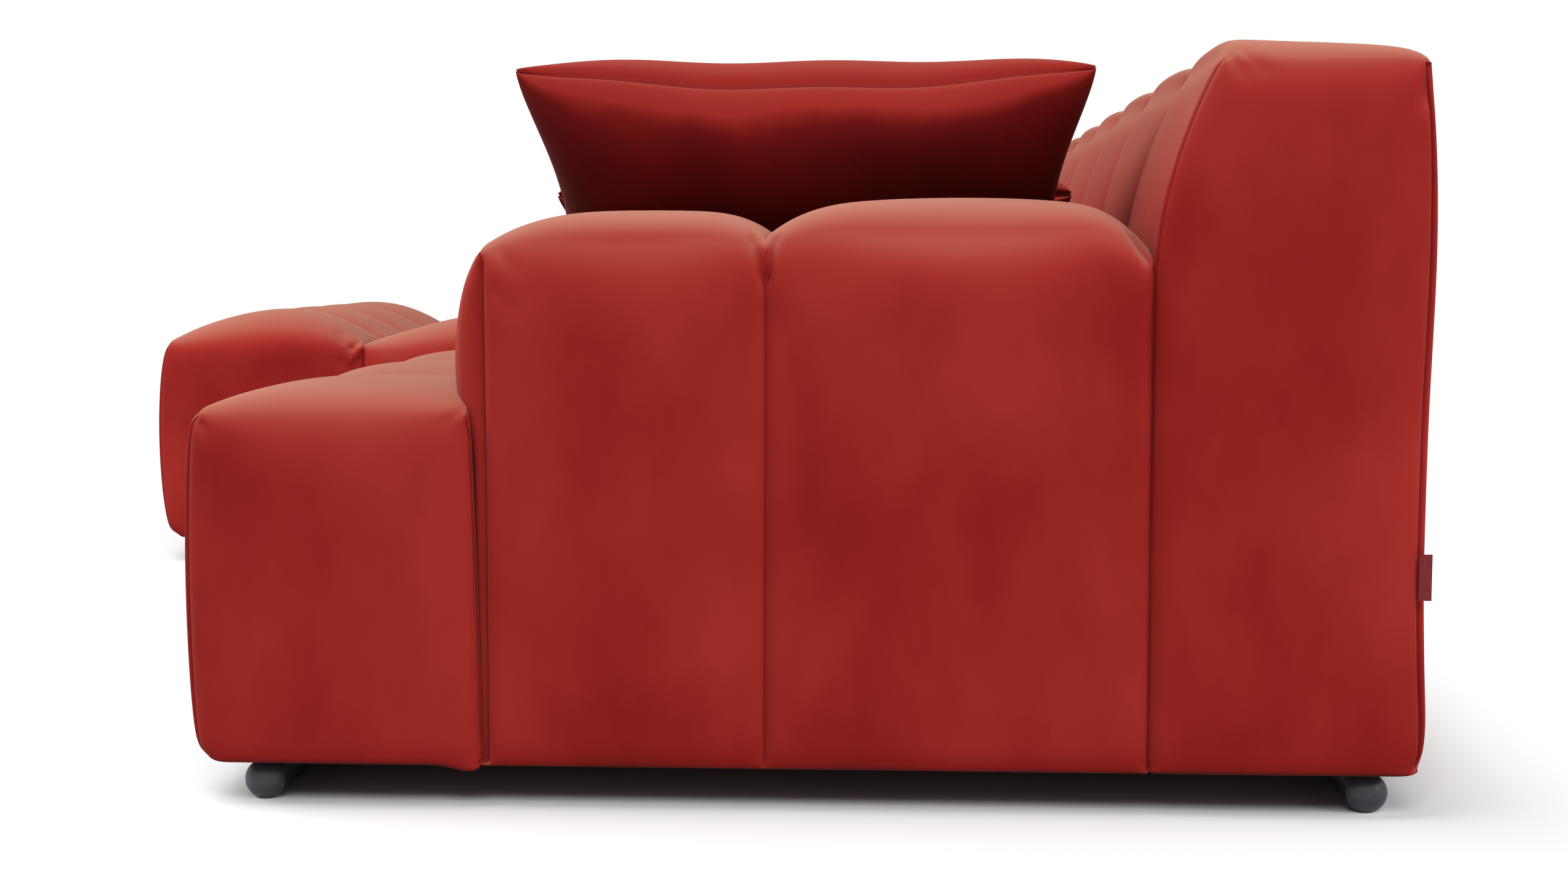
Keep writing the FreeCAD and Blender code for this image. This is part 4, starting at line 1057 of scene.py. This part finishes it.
# Distance from the sofa's outline at which the floor begins to turn white and at which it has turned.
FLOOR_FADE = (-0.02, 0.22)
WORLD_LIGHT = 0.22
CAMERA_PLACE = (3.149, 0.387, 0.531)
# Focal length and sensor width in millimetres, and how far the camera looks down and aside in degrees.
CAMERA_LENS = 47.32
CAMERA_SENSOR = 36
CAMERA_PITCH = 5.01
CAMERA_YAW = 2.881


def outside_rectangle(nodes, links, place, low, high):
    """Distance in metres by which a floor point lies outside a rectangle, negative inside it."""
    middle = [(a + b) / 2 for a, b in zip(low, high)]
    half = [(b - a) / 2 for a, b in zip(low, high)]
    sides = []
    for axis in (0, 1):
        shift = math_node(nodes, links, "SUBTRACT", place.outputs[axis], middle[axis])
        size = math_node(nodes, links, "ABSOLUTE", shift.outputs[0])
        sides.append(math_node(nodes, links, "SUBTRACT", size.outputs[0], half[axis]))
    return math_node(nodes, links, "MAXIMUM", sides[0].outputs[0], sides[1].outputs[0])


def shown_rays(nodes, links):
    """1 for rays that show the surround itself: from the camera, off gloss or through glass."""
    path = nodes.new("ShaderNodeLightPath")
    kinds = ("Camera", "Glossy", "Transmission")
    camera, glossy, clear = (path.outputs[f"Is {kind} Ray"] for kind in kinds)
    opaque = math_node(nodes, links, "MAXIMUM", camera, glossy)
    return math_node(nodes, links, "MAXIMUM", opaque.outputs[0], clear)


def make_stage():
    """A pale floor that takes the shadow close to the sofa and is white further out."""
    mesh = bpy.data.meshes.new("floor")
    signs = ((-1, -1), (1, -1), (1, 1), (-1, 1))
    mesh.from_pydata([(a * FLOOR_HALF, b * FLOOR_HALF, 0) for a, b in signs], [], [(0, 1, 2, 3)])
    floor = bpy.data.objects.new("floor", mesh)
    bpy.context.scene.collection.objects.link(floor)
    material, nodes, links, shader = node_material("pale_floor")
    set_sockets(shader, Base_Color=FLOOR_TONE, Roughness=0.9, Specular_IOR_Level=0.1)
    coordinates = nodes.new("ShaderNodeTexCoord")
    place = nodes.new("ShaderNodeSeparateXYZ")
    links.new(coordinates.outputs["Object"], place.inputs[0])
    main = outside_rectangle(
        nodes, links, place, (MAIN_JOINT * MM, MAIN_FRONT * MM), (NEAR_END * MM, REAR * MM))
    chaise = outside_rectangle(
        nodes, links, place, (FAR_END * MM, CHAISE_FRONT * MM), (CHAISE_JOINT * MM, REAR * MM))
    outside = math_node(nodes, links, "MINIMUM", main.outputs[0], chaise.outputs[0])
    fade = nodes.new("ShaderNodeMapRange")
    fade.interpolation_type = "SMOOTHSTEP"
    fade.inputs["From Min"].default_value = FLOOR_FADE[0]
    fade.inputs["From Max"].default_value = FLOOR_FADE[1]
    links.new(outside.outputs[0], fade.inputs["Value"])
    white = nodes.new("ShaderNodeEmission")
    white.inputs["Color"].default_value = WHITE
    shown = shown_rays(nodes, links)
    share = math_node(nodes, links, "MULTIPLY", fade.outputs["Result"], shown.outputs[0])
    mix = nodes.new("ShaderNodeMixShader")
    links.new(share.outputs[0], mix.inputs["Fac"])
    links.new(shader.outputs["BSDF"], mix.inputs[1])
    links.new(white.outputs["Emission"], mix.inputs[2])
    links.new(mix.outputs["Shader"], nodes["Material Output"].inputs["Surface"])
    mesh.materials.append(material)


def make_world():
    """Even light from all round, in front of a white surround."""
    world = bpy.data.worlds.new("studio")
    world.use_nodes = True
    bpy.context.scene.world = world
    nodes, links = world.node_tree.nodes, world.node_tree.links
    light = nodes["Background"]
    light.inputs["Color"].default_value = WHITE
    light.inputs["Strength"].default_value = WORLD_LIGHT
    white = nodes.new("ShaderNodeBackground")
    white.inputs["Color"].default_value = WHITE
    white.inputs["Strength"].default_value = 1.0
    shown = shown_rays(nodes, links)
    mix = nodes.new("ShaderNodeMixShader")
    links.new(shown.outputs["Value"], mix.inputs["Fac"])
    links.new(light.outputs["Background"], mix.inputs[1])
    links.new(white.outputs["Background"], mix.inputs[2])
    links.new(mix.outputs["Shader"], nodes["World Output"].inputs["Surface"])


def make_light(name, place, target, size, power):
    """A rectangular light that faces its target, with its power in watts."""
    data = bpy.data.lights.new(name, "AREA")
    data.shape = "RECTANGLE"
    data.size, data.size_y = size
    data.energy = power
    lamp = bpy.data.objects.new(name, data)
    lamp.location = place
    lamp.rotation_euler = (Vector(target) - Vector(place)).to_track_quat("-Z", "Y").to_euler()
    bpy.context.scene.collection.objects.link(lamp)


def make_camera():
    """The photograph's viewpoint: level with the near end, looking along the sofa and slightly down."""
    pitch = math.radians(CAMERA_PITCH)
    yaw = math.radians(CAMERA_YAW)
    level = math.cos(pitch)
    forward = Vector((-math.cos(yaw) * level, -math.sin(yaw) * level, -math.sin(pitch)))
    data = bpy.data.cameras.new("camera")
    data.sensor_width = CAMERA_SENSOR
    data.lens = CAMERA_LENS
    camera = bpy.data.objects.new("camera", data)
    camera.location = CAMERA_PLACE
    camera.rotation_euler = forward.to_track_quat("-Z", "Y").to_euler()
    bpy.context.scene.collection.objects.link(camera)
    bpy.context.scene.camera = camera


# The sofa in its surround

velvet = velvet_material("red_velvet", *SOFA_TONES)
# A darker copy of the velvet, with painted shade, for the pillows.
pillow_velvet = velvet_material("pillow_velvet", *SHADED_PILLOW_TONES)
finishes = node_finishes()
main_ends = (MAIN_JOINT, NEAR_END)
chaise_ends = (FAR_END, CHAISE_JOINT)
row_rear = ARM_PANEL - MEETING_GAP
main_rows = [MAIN_FRONT + ROW_SETBACK, row_rear]
chaise_rows = [CHAISE_FRONT, *CHAISE_ROWS, row_rear]
main_seat = (MAIN_JOINT, NEAR_END - ARM_WIDTH - MEETING_GAP)
chaise_seat = (FAR_END + ARM_WIDTH + MEETING_GAP, CHAISE_JOINT)
covers = [
    make_block(
        "main_front_pad", "main_section", main_ends, main_rows, MAIN_COLUMNS, (False, True),
        crown=25, slope=(0.75, 135, 2.3), bulge=16, lean=9, material=velvet),
    make_block(
        "chaise_front_pad", "chaise_section", chaise_ends, chaise_rows, CHAISE_COLUMNS, (True, True),
        crown=62, slope=(0.82, 190, 1.8), bulge=32, lean=0, material=velvet),
    make_seat("main_seat_pad", "main_section", main_seat, MAIN_COLUMNS - 1, velvet),
    make_seat("chaise_seat_pad", "chaise_section", chaise_seat, CHAISE_COLUMNS - 1, velvet),
    *make_arm("near", "main_section", (NEAR_END - ARM_WIDTH, NEAR_END), velvet),
    *make_arm("far", "chaise_section", (FAR_END, FAR_END + ARM_WIDTH), velvet),
    make_back("main_back_pad", "main_section", main_ends, MAIN_COLUMNS, (False, True), velvet),
    make_back("chaise_back_pad", "chaise_section", chaise_ends, CHAISE_COLUMNS, (True, False), velvet),
]
for pillow, tilt in PILLOW_TILTS.items():
    covers.append(make_pillow(f"{pillow}_cover", pillow, tilt, 0, pillow_velvet))
    insert = make_pillow(f"{pillow}_insert", pillow, tilt, INSERT_MARGIN, finishes["insert"])
    stitch(insert, INSERT_STITCH)
    subdivide(insert)
settle(covers, SWELL_FRAMES, SWELL_PRESSURE, SWELL_CAP)
for cover in covers:
    tuck(cover, FOLDS.get(cover.name.removeprefix(SOFT), ()))
    stitch(cover, PILLOW_STITCH if "pillow" in cover.name else COVER_STITCH)
    subdivide(cover)
dress_nodes(finishes)
make_stage()
make_world()
make_light("key", place=(0.9, -2.2, 5.8), target=(0.3, 0.0, 0.3), size=(4.5, 4.5), power=270)
make_light("front", place=(6.5, 0.2, 5.8), target=(0.7, 0.2, 0.4), size=(3.6, 2.8), power=235)
make_light("side", place=(2.6, 3.6, 2.2), target=(0.9, 0.7, 0.4), size=(1.6, 2.0), power=84)
make_light("lounge", place=(0.6, -3.2, 2.2), target=(-0.1, -0.3, 0.3), size=(1.5, 1.5), power=50)
make_camera()
bpy.context.scene.view_settings.view_transform = "Standard"
